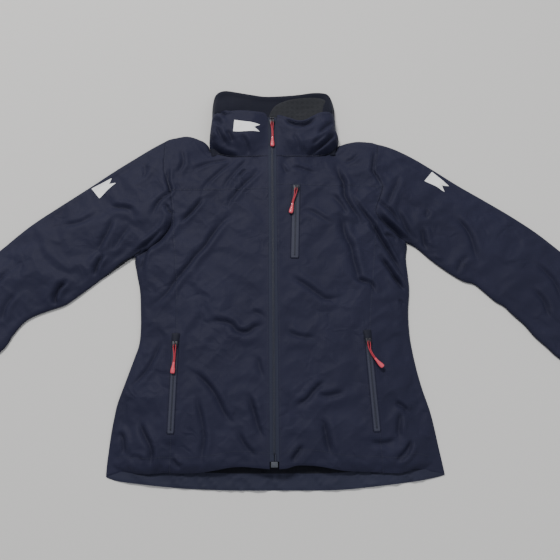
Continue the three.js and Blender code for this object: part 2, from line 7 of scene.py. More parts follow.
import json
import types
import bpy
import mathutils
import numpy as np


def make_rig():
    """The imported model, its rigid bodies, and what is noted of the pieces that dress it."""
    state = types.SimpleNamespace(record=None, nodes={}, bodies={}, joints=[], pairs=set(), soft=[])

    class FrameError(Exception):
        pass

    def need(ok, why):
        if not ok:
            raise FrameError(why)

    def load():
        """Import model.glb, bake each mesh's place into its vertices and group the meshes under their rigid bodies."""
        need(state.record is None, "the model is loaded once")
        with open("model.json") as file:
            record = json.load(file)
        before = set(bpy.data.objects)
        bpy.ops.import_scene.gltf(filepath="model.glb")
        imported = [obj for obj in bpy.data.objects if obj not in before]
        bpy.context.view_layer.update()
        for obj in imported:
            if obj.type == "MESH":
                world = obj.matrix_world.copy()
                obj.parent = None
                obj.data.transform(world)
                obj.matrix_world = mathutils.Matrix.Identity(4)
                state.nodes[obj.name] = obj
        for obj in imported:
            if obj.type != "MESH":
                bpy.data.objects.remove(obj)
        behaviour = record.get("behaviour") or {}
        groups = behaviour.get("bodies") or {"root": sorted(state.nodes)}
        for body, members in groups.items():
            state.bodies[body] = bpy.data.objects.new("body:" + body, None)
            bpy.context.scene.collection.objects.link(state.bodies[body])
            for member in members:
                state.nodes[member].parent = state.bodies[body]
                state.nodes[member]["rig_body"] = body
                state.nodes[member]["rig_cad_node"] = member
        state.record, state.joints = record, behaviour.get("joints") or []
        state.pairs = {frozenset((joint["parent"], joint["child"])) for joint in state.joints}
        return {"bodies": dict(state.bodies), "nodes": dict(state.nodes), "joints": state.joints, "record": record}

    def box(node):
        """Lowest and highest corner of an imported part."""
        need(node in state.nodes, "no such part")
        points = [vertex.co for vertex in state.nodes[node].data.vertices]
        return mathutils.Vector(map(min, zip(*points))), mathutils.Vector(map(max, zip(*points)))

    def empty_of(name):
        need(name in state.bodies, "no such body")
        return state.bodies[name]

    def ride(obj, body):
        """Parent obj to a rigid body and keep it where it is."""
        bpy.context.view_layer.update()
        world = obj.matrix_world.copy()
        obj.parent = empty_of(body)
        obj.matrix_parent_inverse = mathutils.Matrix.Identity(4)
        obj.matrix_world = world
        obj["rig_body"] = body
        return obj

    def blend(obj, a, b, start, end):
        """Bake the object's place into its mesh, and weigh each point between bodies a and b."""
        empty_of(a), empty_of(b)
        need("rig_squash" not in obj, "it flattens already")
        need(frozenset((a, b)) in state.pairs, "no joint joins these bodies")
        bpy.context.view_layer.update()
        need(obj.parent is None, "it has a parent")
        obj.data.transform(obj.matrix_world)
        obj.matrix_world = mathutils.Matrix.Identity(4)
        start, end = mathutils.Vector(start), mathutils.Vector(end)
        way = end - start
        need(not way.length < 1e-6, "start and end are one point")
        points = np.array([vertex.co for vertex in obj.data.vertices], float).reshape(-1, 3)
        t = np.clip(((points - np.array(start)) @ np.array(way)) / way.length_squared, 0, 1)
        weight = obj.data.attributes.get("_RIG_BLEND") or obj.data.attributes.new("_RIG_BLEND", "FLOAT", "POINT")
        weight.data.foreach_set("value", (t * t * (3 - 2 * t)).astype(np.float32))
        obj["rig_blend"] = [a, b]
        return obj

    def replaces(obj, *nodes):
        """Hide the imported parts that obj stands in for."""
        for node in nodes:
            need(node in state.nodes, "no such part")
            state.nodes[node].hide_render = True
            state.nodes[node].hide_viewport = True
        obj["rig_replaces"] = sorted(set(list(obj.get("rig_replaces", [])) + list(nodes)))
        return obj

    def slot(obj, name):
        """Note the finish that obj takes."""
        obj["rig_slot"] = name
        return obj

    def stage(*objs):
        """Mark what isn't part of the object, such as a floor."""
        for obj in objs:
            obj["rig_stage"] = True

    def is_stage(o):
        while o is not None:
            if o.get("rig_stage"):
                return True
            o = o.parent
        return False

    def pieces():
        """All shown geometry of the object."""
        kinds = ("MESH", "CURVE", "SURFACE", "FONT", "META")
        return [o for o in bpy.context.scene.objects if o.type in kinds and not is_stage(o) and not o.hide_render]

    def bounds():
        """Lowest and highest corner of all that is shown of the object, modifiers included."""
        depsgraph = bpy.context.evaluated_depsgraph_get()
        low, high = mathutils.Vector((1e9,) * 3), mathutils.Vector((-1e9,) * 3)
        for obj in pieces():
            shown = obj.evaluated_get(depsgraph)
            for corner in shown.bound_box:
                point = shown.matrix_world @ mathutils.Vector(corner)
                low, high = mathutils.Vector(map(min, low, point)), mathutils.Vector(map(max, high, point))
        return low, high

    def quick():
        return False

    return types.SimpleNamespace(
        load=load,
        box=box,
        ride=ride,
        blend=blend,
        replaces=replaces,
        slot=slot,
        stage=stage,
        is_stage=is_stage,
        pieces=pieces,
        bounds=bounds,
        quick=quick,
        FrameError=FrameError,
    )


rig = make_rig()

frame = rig.load()
import json
import math
from types import SimpleNamespace

import bpy
import numpy as np
from mathutils import Matrix, Vector
from mathutils.bvhtree import BVHTree

CAD_BOX = [list(corner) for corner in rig.bounds()]

ZIP_HEIGHT = 24.0        # the zips' tapes above the floor
ZIP_EDGE = 7.6           # from the zip's centre line to the cloth beside it
STITCH_PITCH = 3.1


# ---------------------------------------------------------------- curves, grids and noise
def array(values):
    return np.array(values, float)


def points(*coordinates):
    """Rows of x, y from a flat run of numbers."""
    return array(coordinates).reshape(-1, 2)


def ease(start, end, value):
    """Smooth step from 0 at start to 1 at end; start may be the larger."""
    t = np.clip((np.asarray(value, float) - start) / (end - start), 0, 1)
    return t * t * (3 - 2 * t)


def bell(distance, width):
    return np.exp(-(distance / width) ** 2)


def mix(value, target, weight):
    return value * (1 - weight) + target * weight


def rounded_rim(distance, radius):
    """Quarter-circle rise from 0 at an edge to 1 at radius from it."""
    return np.sqrt(np.clip(1 - (1 - np.clip(distance / radius, 0, 1)) ** 2, 0, 1))


def unit(vectors):
    return vectors / np.linalg.norm(vectors, axis=1, keepdims=True)


def length_of(line):
    return np.sum(np.linalg.norm(np.diff(line, axis=0), axis=1))


def resample(line, count):
    """The same line with count equal steps."""
    line = array(line)
    run = np.r_[0, np.cumsum(np.linalg.norm(np.diff(line, axis=0), axis=1))]
    stations = np.linspace(0, run[-1], count + 1)
    return np.stack([np.interp(stations, run, column) for column in line.T], 1)


def spline(line, count, dense=14):
    """Catmull-Rom curve through the points, in count equal steps."""
    line = array(line)
    padded = np.vstack([2 * line[0] - line[1], line, 2 * line[-1] - line[-2]])
    curve = []
    for i in range(1, len(padded) - 2):
        p0, p1, p2, p3 = padded[i - 1:i + 3]
        for k in range(dense):
            t = k / dense
            curve.append(0.5 * ((2 * p1) + (-p0 + p2) * t
                                + (2 * p0 - 5 * p1 + 4 * p2 - p3) * t * t
                                + (-p0 + 3 * p1 - 3 * p2 + p3) * t ** 3))
    curve.append(line[-1])
    return resample(np.array(curve), count)


def nearest(x, y, line):
    """Distance to a polyline, share of its length at that place, and which side (-1 or 1)."""
    segments = np.diff(line, axis=0)
    lengths = np.linalg.norm(segments, axis=1)
    run = np.r_[0, np.cumsum(lengths)]
    best = np.full(x.shape, 1e9)
    share = np.zeros(x.shape)
    side = np.ones(x.shape)
    for i, (seg_x, seg_y) in enumerate(segments):
        if lengths[i] < 1e-9:
            continue
        dx, dy = x - line[i, 0], y - line[i, 1]
        t = np.clip((dx * seg_x + dy * seg_y) / lengths[i] ** 2, 0, 1)
        distance = np.hypot(dx - t * seg_x, dy - t * seg_y)
        closer = distance < best
        best = np.where(closer, distance, best)
        share = np.where(closer, (run[i] + t * lengths[i]) / run[-1], share)
        side = np.where(closer, np.sign(seg_x * dy - seg_y * dx), side)
    return best, share, side


def distance_to(x, y, line):
    return nearest(x, y, line)[0]


def noise(x, y, scale, seed):
    """Smooth value noise from -1 to 1, with cells of the given size."""
    table = np.random.default_rng(seed).random((64, 64)) * 2 - 1
    x, y = x / scale + 500.0, y / scale + 500.0
    xi, yi = np.floor(x).astype(int), np.floor(y).astype(int)
    fx, fy = x - xi, y - yi
    fx = fx * fx * fx * (fx * (fx * 6 - 15) + 10)
    fy = fy * fy * fy * (fy * (fy * 6 - 15) + 10)

    def cell(i, j):
        return table[np.mod(i, 64), np.mod(j, 64)]
    return ((cell(xi, yi) * (1 - fx) + cell(xi + 1, yi) * fx) * (1 - fy)
            + (cell(xi, yi + 1) * (1 - fx) + cell(xi + 1, yi + 1) * fx) * fy)


def coons(bottom, top, first, last, across, up):
    """Grid between bottom and top (both running across) and the first and last sides (upwards).

    Its shape is (up + 1, across + 1, 2).
    """
    b, t = resample(bottom, across), resample(top, across)
    f, l = resample(first, up), resample(last, up)
    u = np.linspace(0, 1, across + 1)[None, :, None]
    v = np.linspace(0, 1, up + 1)[:, None, None]
    grid = (1 - v) * b[None] + v * t[None] + (1 - u) * f[:, None] + u * l[:, None]
    grid -= ((1 - u) * (1 - v) * b[0] + u * (1 - v) * b[-1]
             + (1 - u) * v * t[0] + u * v * t[-1])
    return grid


def at_height(grid, z):
    return np.concatenate([grid, z[..., None]], -1)


def split(grid):
    return grid[..., 0], grid[..., 1]


# ---------------------------------------------------------------- meshes
def make(name, verts, faces, material=None, smooth=True):
    mesh = bpy.data.meshes.new(name)
    mesh.from_pydata((np.asarray(verts, float) / 1000.0).tolist(), [],
                     [list(map(int, face)) for face in faces])
    mesh.validate()
    mesh.update()
    obj = bpy.data.objects.new(name, mesh)
    bpy.context.scene.collection.objects.link(obj)
    if material:
        mesh.materials.append(material)
    if smooth:
        mesh.polygons.foreach_set("use_smooth", [True] * len(mesh.polygons))
    return obj


def attach(obj, slot, *replaced, body="torso"):
    """Tells the frame which body an object rides, which nodes it replaces, and its slot."""
    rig.ride(obj, body)
    if replaced:
        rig.replaces(obj, *replaced)
    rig.slot(obj, slot)


def quads(index):
    return np.stack([index[:-1, :-1].ravel(), index[:-1, 1:].ravel(),
                     index[1:, 1:].ravel(), index[1:, :-1].ravel()], 1)


def closed_ring(index):
    return np.concatenate([index, index[:, :1]], 1)


def sheet_faces(rows, columns, wrap=False, flip=False):
    """Outer face, inner face and rims of a thin sheet; the inner points follow the outer ones."""
    count = rows * columns
    index = np.arange(count).reshape(rows, columns)
    ring = closed_ring(index) if wrap else index
    outer = quads(ring)
    if flip:
        outer = outer[:, ::-1]
    rims = [(ring[0], flip), (ring[-1], not flip)]
    if not wrap:
        rims += [(index[:, 0], not flip), (index[:, -1], flip)]
    walls = []
    for line, turned in rims:
        p, q = line[:-1], line[1:]
        wall = np.stack([p, p + count, q + count, q], 1)
        walls.append(wall[:, ::-1] if turned else wall)
    return np.vstack([outer, outer[:, ::-1] + count] + walls), len(outer)


def grid_normals(grid, wrap=False):
    if wrap:
        du = np.roll(grid, -1, 1) - np.roll(grid, 1, 1)
    else:
        du = np.gradient(grid, axis=1)
    normals = np.cross(du, np.gradient(grid, axis=0))
    return normals / np.maximum(np.linalg.norm(normals, axis=2, keepdims=True), 1e-9)


def shell(name, grid, thickness, material, wrap=False, normals=None, inner=None):
    """Closed thin shell with its outer face on the grid. An unwrapped one faces up."""
    own = grid_normals(grid, wrap)
    flip = bool(not wrap and own[..., 2].mean() < 0)
    if flip:
        own = -own
    rows, columns = grid.shape[:2]
    faces, outer = sheet_faces(rows, columns, wrap, flip)
    verts = np.vstack([grid.reshape(-1, 3), (grid - own * thickness).reshape(-1, 3)])
    obj = make(name, verts, faces, material)
    mesh = obj.data
    if inner is not None:
        mesh.materials.append(inner)
        slots = np.zeros(len(faces), np.int32)
        slots[outer:2 * outer] = 1
        mesh.polygons.foreach_set("material_index", slots)
    # The sheet's own normals keep the rim from darkening the seam. They fit only when
    # validation has dropped no face.
    if len(mesh.polygons) == len(faces):
        sheet = (own if normals is None else normals).reshape(-1, 3)
        corners = np.zeros((len(faces), 4, 3))
        corners[:outer] = sheet[faces[:outer]]
        corners[outer:2 * outer] = -sheet[faces[outer:2 * outer] - rows * columns]
        flat = np.zeros(len(faces) * 3)
        mesh.polygons.foreach_get("normal", flat)
        corners[2 * outer:] = flat.reshape(-1, 3)[2 * outer:, None]
        mesh.normals_split_custom_set(corners.reshape(-1, 3).tolist())
    return obj


def sweep(name, path, radius, material, seg=10, flat=1.0, up=(0, 0, 1)):
    """Closed tube along a path, with one radius or one per point; flat < 1 squeezes it along up."""
    path = array(path)
    count = len(path)
    along = unit(np.gradient(path, axis=0))
    rise = np.tile(array(up), (count, 1))
    rise -= along * np.sum(rise * along, axis=1, keepdims=True)
    rise = unit(rise)
    wide = np.cross(along, rise)
    angle = np.linspace(0, 2 * math.pi, seg, endpoint=False)[None, :, None]
    ring = wide[:, None] * np.cos(angle) + rise[:, None] * np.sin(angle) * flat
    tube = path[:, None] + ring * np.broadcast_to(radius, count)[:, None, None]
    verts = np.vstack([tube.reshape(-1, 3), path[:1], path[-1:]])
    index = closed_ring(np.arange(count * seg).reshape(count, seg))
    faces = quads(index)[:, ::-1].tolist()
    for k in range(seg):
        faces.append([count * seg, index[0, k], index[0, k + 1]])
        faces.append([count * seg + 1, index[-1, k + 1], index[-1, k]])
    return make(name, verts, faces, material)


def bars(name, centres, along, across, size, material, taper=0.75):
    """Many small bars with a smaller top face; size is (length, width, height)."""
    centres, along, across = array(centres), array(along), array(across)
    up = np.cross(along, across)
    length, width, height = [x / 2 for x in size]
    corners = []
    for top in (-1, 1):
        scale = taper if top > 0 else 1.0
        for end, side in ((-1, -1), (1, -1), (1, 1), (-1, 1)):
            corners.append(centres + along * end * length * scale
                           + across * side * width * scale + up * top * height)
    verts = np.stack(corners, 1).reshape(-1, 3)
    first = (np.arange(len(centres)) * 8)[:, None, None]
    faces = np.array([[0, 3, 2, 1], [4, 5, 6, 7], [0, 1, 5, 4],
                      [1, 2, 6, 5], [2, 3, 7, 6], [3, 0, 4, 7]])[None]
    return make(name, verts, (first + faces).reshape(-1, 4), material, smooth=False)


def plate(name, outline, bottom, top, bevel, material):
    """Flat plate from an outline, with a rounded upper rim in three steps."""
    count = len(outline)
    centre = outline.mean(0)
    reach = np.linalg.norm(outline - centre, axis=1, keepdims=True)
    rings = [np.c_[outline, np.full(count, bottom)], np.c_[outline, np.full(count, top - bevel)]]
    for k in range(1, 4):
        angle = k / 3 * math.pi / 2
        inset = centre + (outline - centre) * (1 - bevel * (1 - math.cos(angle)) / reach)
        rings.append(np.c_[inset, np.full(count, top - bevel + bevel * math.sin(angle))])
    faces = []
    for ring in range(len(rings) - 1):
        for k in range(count):
            a, b = ring * count + k, ring * count + (k + 1) % count
            faces.append([a, b, b + count, a + count])
    faces.append(list(range(count))[::-1])
    faces.append([(len(rings) - 1) * count + k for k in range(count)])
    return make(name, np.vstack(rings), faces, material)


def round_corners(outline, steps, radius):
    curve = []
    for i, corner in enumerate(outline):
        before = outline[i - 1] - corner
        after = outline[(i + 1) % len(outline)] - corner
        size_before, size_after = np.linalg.norm(before), np.linalg.norm(after)
        cut = min(radius, size_before * 0.45, size_after * 0.45)
        start, end = corner + before / size_before * cut, corner + after / size_after * cut
        for k in range(steps + 1):
            t = k / steps
            curve.append((1 - t) ** 2 * start + 2 * t * (1 - t) * corner + t * t * end)
    return array(curve)


def join(name, objects):
    bpy.ops.object.select_all(action="DESELECT")
    for obj in objects:
        obj.select_set(True)
    bpy.context.view_layer.objects.active = objects[0]
    bpy.ops.object.join()
    joined = bpy.context.view_layer.objects.active
    joined.name = joined.data.name = name
    return joined


def place(obj, x, y, turn):
    move = Matrix.Translation((x / 1000, y / 1000, 0)) @ Matrix.Rotation(turn, 4, "Z")
    obj.data.transform(move)
    obj.data.update()


# ---------------------------------------------------------------- materials
def linear(colour):
    """Linear RGBA from 8-bit sRGB."""
    channels = [c / 255 for c in colour]
    return tuple((c / 12.92) if c <= 0.04045 else ((c + 0.055) / 1.055) ** 2.4
                 for c in channels) + (1,)


class Graph:
    """A material's node tree, ending in one principled shader.

    Wherever an input is given, a socket is linked and anything else is stored as its value.
    """

    def __init__(self, name):
        self.material = bpy.data.materials.new(name)
        self.material.use_nodes = True
        self.tree = self.material.node_tree
        self.tree.nodes.clear()
        output = self.tree.nodes.new("ShaderNodeOutputMaterial")
        self.shader = self.tree.nodes.new("ShaderNodeBsdfPrincipled")
        self.tree.links.new(self.shader.outputs[0], output.inputs[0])

    def fill(self, node, inputs):
        for key, value in inputs.items():
            if isinstance(value, bpy.types.NodeSocket):
                self.tree.links.new(value, node.inputs[key])
            else:
                node.inputs[key].default_value = value

    def add(self, kind, output, inputs=None, **properties):
        """Adds a node and returns one of its output sockets."""
        node = self.tree.nodes.new("ShaderNode" + kind)
        for key, value in properties.items():
            setattr(node, key, value)
        self.fill(node, inputs or {})
        return node.outputs[output]

    def noise(self, place, scale, detail, output="Fac", roughness=0.5, distortion=0.0):
        return self.add("TexNoise", output, {
            "Vector": place, "Scale": scale, "Detail": detail, "Roughness": roughness,
            "Distortion": distortion})

    def remap(self, value, from_min=0.0, from_max=1.0, to_min=0.0, to_max=1.0, kind="LINEAR"):
        return self.add("MapRange", "Result", {
            "Value": value, "From Min": from_min, "From Max": from_max,
            "To Min": to_min, "To Max": to_max}, interpolation_type=kind)

    def mix(self, a, b, factor, blend="MIX"):
        return self.add("Mix", "Result", {"A": a, "B": b, "Factor": factor},
                        data_type="RGBA", blend_type=blend)

    def darken(self, colour, value, factor):
        grey = self.add("CombineColor", "Color", {0: value, 1: value, 2: value})
        return self.mix(colour, grey, factor, blend="MULTIPLY")

    def bump(self, height, strength, distance, normal=None):
        inputs = {"Height": height, "Strength": strength, "Distance": distance}
        if normal is not None:
            inputs["Normal"] = normal
        return self.add("Bump", "Normal", inputs)


def fabric(name, colour, colour2, rough=0.6, weave=0.45, weave_depth=0.25, crinkle=0.35,
           sheen=0.25, spec=0.35, mottle=0.35, sheen_tint=(0.6, 0.65, 0.85, 1),
           fuzz=0.0, crumple=0.0):
    """Woven cloth: threads weave mm wide, wandering colour, painted shade in creases, fine crinkle, soft sheen."""
    graph = Graph(name)
    place = graph.add("TexCoord", "Object")
    warp, weft = [graph.add("TexWave", "Fac", {
        "Vector": place, "Scale": 1000.0 / weave / 20.0, "Distortion": 0.6, "Detail": 1.0,
        "Detail Scale": 2.0}, wave_type="BANDS", bands_direction=axis, wave_profile="SIN")
        for axis in "XY"]
    threads = graph.add("Math", 0, {0: warp, 1: weft}, operation="MAXIMUM")
    broad = graph.noise(place, scale=9.0, detail=4.0)
    fine = graph.noise(place, scale=260.0, detail=5.0, roughness=0.6)
    medium = graph.noise(place, scale=70.0, detail=4.0, distortion=0.8)

    # colour: two tones, toned by the threads, with painted shade in creases (ambient occlusion below)
    tone = graph.mix(linear(colour), linear(colour2),
                     graph.remap(broad, from_min=0.3, from_max=0.7))
    tone = graph.darken(tone, graph.remap(threads, to_min=0.72, to_max=1.18), mottle)
    # painted shade: ambient occlusion darkens the base colour in creases, hollows and along seams and zip edges
    crease = graph.add("AmbientOcclusion", "AO", {"Distance": 0.006}, samples=6)
    crease = graph.remap(crease, from_min=0.35, from_max=0.95, to_min=0.50, to_max=1.0)

    # relief: threads, crinkle, fibres, and patches of crumpled facets
    normal = graph.bump(threads, weave_depth, distance=0.00012)
    normal = graph.bump(medium, crinkle, distance=0.0009, normal=normal)
    normal = graph.bump(fine, 0.25 + fuzz, distance=0.0003 + 0.001 * fuzz, normal=normal)
    drift = graph.noise(place, scale=22.0, detail=2.0, output="Color")
    bent = graph.add("VectorMath", "Vector", {0: drift, 1: (0.05, 0.05, 0.0), 2: place},
                     operation="MULTIPLY_ADD")
    facets = graph.add("TexVoronoi", "Distance", {
        "Vector": bent, "Scale": 38.0, "Randomness": 1.0}, feature="DISTANCE_TO_EDGE")
    facets = graph.remap(facets, from_max=0.32, kind="SMOOTHSTEP")
    patches = graph.noise(place, scale=13.0, detail=1.0)
    patches = graph.remap(patches, from_min=0.40, from_max=0.66)
    patches = graph.add("Math", 0, {0: patches, 1: crumple}, operation="MULTIPLY")
    normal = graph.bump(facets, patches, distance=0.0016, normal=normal)

    graph.fill(graph.shader, {
        "Base Color": graph.darken(tone, crease, 1.0),
        "Roughness": graph.remap(medium, to_min=rough - 0.07, to_max=rough + 0.09),
        "Normal": normal, "Specular IOR Level": spec, "Sheen Weight": sheen,
        "Sheen Roughness": 0.4, "Sheen Tint": sheen_tint})
    return graph.material


def solid(name, colour, rough=0.45, metal=0.0, scale=900.0, vary=0.12, spec=0.5, coat=0.0):
    """Moulded plastic or cast metal: mottled colour and roughness, fine surface grain."""
    graph = Graph(name)
    place = graph.add("TexCoord", "Object")
    mottle = graph.noise(place, scale=140.0, detail=5.0)
    grain = graph.noise(place, scale=scale, detail=3.0)
    base = linear(colour)[:3]
    dark = tuple(c * (1 - vary) for c in base) + (1,)
    light = tuple(min(1, c * (1 + vary)) for c in base) + (1,)
    graph.fill(graph.shader, {
        "Base Color": graph.mix(dark, light, mottle),
        "Roughness": graph.remap(mottle, to_min=max(0.05, rough - 0.1),
                                 to_max=min(1, rough + 0.1)),
        "Normal": graph.bump(grain, strength=0.35, distance=0.0001),
        "Metallic": metal, "Specular IOR Level": spec, "Coat Weight": coat})
    return graph.material


SHELL = fabric("shell", (34, 35, 54), (37.5, 38.5, 58.5), rough=0.66, weave=0.55,
               crinkle=0.34, sheen=0.03, spec=0.16, crumple=0.55)
# a lighter copy of the shell cloth: painted light that lifts the hem facing out of the shade cast by the front hem
SHELL_INSIDE_PAINTED_LIGHT = fabric("shell_inside", (39, 41, 58), (44, 46, 64), rough=0.66, weave=0.6,
                      crinkle=0.30, sheen=0.05, spec=0.18)
LINING = fabric("lining", (22, 23, 30), (28, 29, 37), rough=0.8, weave=1.1, weave_depth=0.6,
                crinkle=0.3, sheen=0.15, spec=0.15)
FLEECE = fabric("fleece", (45, 46, 50), (53, 54, 58), rough=0.95, weave=1.6, weave_depth=0.5,
                crinkle=0.8, sheen=0.5, spec=0.05, sheen_tint=(0.66, 0.68, 0.72, 1), fuzz=0.6)
POCKET_MESH = fabric("pocket_mesh", (26, 28, 36), (34, 36, 45), rough=0.85, weave=2.0,
                     weave_depth=0.9, crinkle=0.2, sheen=0.1, spec=0.15)
ZIP_TAPE = fabric("zip_tape", (44, 47, 62), (47.5, 50.5, 65.5), rough=0.70, weave=0.7,
                  weave_depth=0.5, crinkle=0.1, sheen=0.0, spec=0.12)
WELDED_TAPE = fabric("welded_zip_tape", (53, 55, 70), (57, 59, 74), rough=0.60, weave=0.7,
                     weave_depth=0.5, crinkle=0.1, sheen=0.03, spec=0.22)
ZIP_GARAGE = fabric("zip_garage", (25, 27, 40), (29, 31, 44), rough=0.66, weave=0.6,
                    crinkle=0.30, sheen=0.03, spec=0.18)
COLLAR_INSIDE = fabric("collar_inside", (29, 30.5, 42), (33, 34, 45.5), rough=0.74, weave=0.8,
                       crinkle=0.4, sheen=0.05, spec=0.10)
ZIP_COIL = solid("zip_coil", (47, 50, 64), rough=0.5, scale=600, spec=0.3)
# a spare finish that no piece wears
solid("zip_centre_line", (34, 37, 48), rough=0.45, scale=600)
METAL = solid("slider_metal", (40, 40, 47), rough=0.45, metal=0.35, scale=1400)
GREY_PLASTIC = solid("grey_plastic", (70, 74, 82), rough=0.42, scale=800)
BLACK_PLASTIC = solid("black_plastic", (24, 25, 28), rough=0.45, scale=800)
ELASTIC = fabric("elastic_cord", (22, 23, 27), (30, 31, 36), rough=0.7, weave=0.8,
                 weave_depth=0.8, spec=0.3)
PULL_GRIP = solid("pull_grip", (218, 80, 96), rough=0.42, scale=500, vary=0.08, coat=0.15)
PULL_CORD = fabric("pull_cord", (168, 42, 60), (188, 58, 74), rough=0.55, weave=0.5,
                   weave_depth=0.9, crinkle=0.1, spec=0.4, sheen_tint=(1, 0.7, 0.7, 1))
EMBLEM_FILM = fabric("emblem_film", (251, 251, 251), (245, 246, 247), rough=0.5, weave=0.6,
                     weave_depth=0.15, crinkle=0.1, sheen=0.0, spec=0.4, mottle=0.08)
THREAD = solid("thread", (47, 50, 68), rough=0.6, scale=1500)
CUFF_TAB = fabric("cuff_tab", (34, 36, 50), (40, 42, 57), rough=0.6, weave=0.8,
                  weave_depth=0.5, crinkle=0.15, sheen=0.08)
LOOP_TAPE = fabric("loop_tape", (26, 27, 34), (34, 35, 43), rough=0.95, weave=1.0,
                   weave_depth=1.0, crinkle=0.6, sheen=0.4, fuzz=0.5)

# ---------------------------------------------------------------- outlines of the laid-out jacket
# Each outline is a run of x,y pairs. Necks, shoulders, hems and yoke seams start nearest the
# zip; sleeve edges start at the body; armholes, flanks and princess seams start at the top.
RIGHT = SimpleNamespace(
    name="right", sign=-1,
    neck=points(-7.6,557, -22,557, -62,558, -83,561, -103,569, -120,579),
    shoulder=points(-120,579, -123,590, -131,600, -141,606, -155,612, -169,614.5, -189,611,
                    -207,605),
    armhole=points(-207,605, -207,575, -205,536, -200,514, -192,492, -186,462, -184,438,
                   -189,416, -203,395, -224,380, -250,363),
    flank=points(-250,363, -246,333, -238,299, -234,260, -232,228, -233,202, -239,180,
                 -249,147, -257,121, -263,100, -266,80, -269,53, -271,23, -272,3, -272,-14),
    hem=points(-6,-5, -26,-3, -50,-1, -71,-2, -95,-6, -119,-9, -152,-10, -180,-9, -204,-11,
               -227,-9, -245,-7, -255,-9, -272,-14),
    sleeve_top=points(-207,605, -233,589, -263,568, -302,540, -346,506, -393,471, -439,436,
                      -468,410, -497,381, -560,322, -640,238, -700,174, -724,149),
    sleeve_low=points(-250,363, -268,356, -286,341, -316,316, -357,282, -373,272, -393,265,
                      -417,256, -434,246, -445,234, -456,217, -470,193, -520,154, -590,102,
                      -652,60),
    princess=points(-185,432, -181,395, -174,330, -168,223, -168,121, -169,56, -170,-9.5),
    yoke=points(-7.6,489, -60,488, -131,487, -190.5,487),
    collar_top=points(-7.6,640, -10,648, -17,652.5, -33,652, -62,655, -87,653, -104,656,
                      -117,659),
    collar_side=points(-120,579, -122,590, -121.5,610, -119.5,635, -117,659))
LEFT = SimpleNamespace(
    name="left", sign=1,
    neck=points(7.6,557, 43,556, 69,557, 90,560, 108,566, 121,577),
    shoulder=points(121,577, 125,586, 134,591, 147,595.5, 167,598.5, 191,596.5, 204,592.5),
    armhole=points(204,592.5, 202,578, 198,551, 196,529, 199,508, 204,491, 199,473, 191,452,
                   189,438, 199,426, 220,407, 244,386),
    flank=points(244,386, 241,355, 242,320, 242,294, 237,255, 236,219, 238,190, 243,154,
                 250,120, 259,86, 264,57, 268,27, 272,0, 274,-16),
    hem=points(6,-5, 19,-4, 34,0, 54,0, 74,-2, 90,-5, 115,-9, 155,-11, 195,-13, 212,-11,
               226,-7, 248,-11, 274,-16),
    sleeve_top=points(204,592.5, 218,588.5, 242,578, 275,558, 313,530, 351,501, 397,469,
                      443,436, 484,403, 520,368, 590,297, 660,219, 724,149),
    sleeve_low=points(244,386, 263,374, 287,350, 316,326, 340,310, 359,304, 376,288, 392,272,
                      407,262, 420,247, 438,228, 452,208, 471,188, 488,170, 530,138, 592,98,
                      652,60),
    princess=points(189.5,438, 184,395, 176,330, 163,225, 162,197, 166,118, 168,57, 171,-12),
    yoke=points(7.6,496.5, 47,495.5, 109,493.5, 203.5,489),
    collar_top=points(7.6,639, 9.5,646, 13,648.5, 25,642, 37,634, 49,629.5, 65,631, 80,641,
                      94,648, 108,651.5, 121,654),
    collar_side=points(121,577, 126,586, 128.5,597, 127.5,608, 124,619, 123.5,640, 121,654))
SIDES = (RIGHT, LEFT)
for side in SIDES:
    side.zip_x = ZIP_EDGE * side.sign
    side.along = array([0.775 * side.sign, -0.632])      # down the sleeve
    side.across = array([0.632 * side.sign, 0.775])      # towards the sleeve's upper edge
    side.root = array([215 * side.sign, 490])            # sleeve lengths are measured from here

# wearer's right to left
BACK_HEM = points(
    -272,-15, -256,-21, -215,-26.5, -174,-31, -133,-34.5, -71,-37, 8,-38, 74,-38.5,
    115,-37.5, 156,-34, 197,-30, 238,-25, 265,-20, 274,-17)
COLLAR_BACK_EDGE = spline(points(
    -118,655, -118.5,668, -117.5,684, -114,703, -106,713, -92,716.5, -65,711.5, -37,705.5,
    -18,702, 4,702, 34,703.5, 57,705.5, 80,708.5, 101,708, 113,703, 120,686, 123,667,
    122.5,650), 90)
COLLAR_BACK_OUTLINE = np.vstack([points(-119,560, -120,600), COLLAR_BACK_EDGE,
                                 points(125,600, 122,560)])
FLEECE_EDGE = spline(points(
    -8,640, -6,656, -1,669, 8,680, 22,687.5, 40,692, 66,694.5, 90,694.5, 104,690, 110,680,
    111,650), 70)

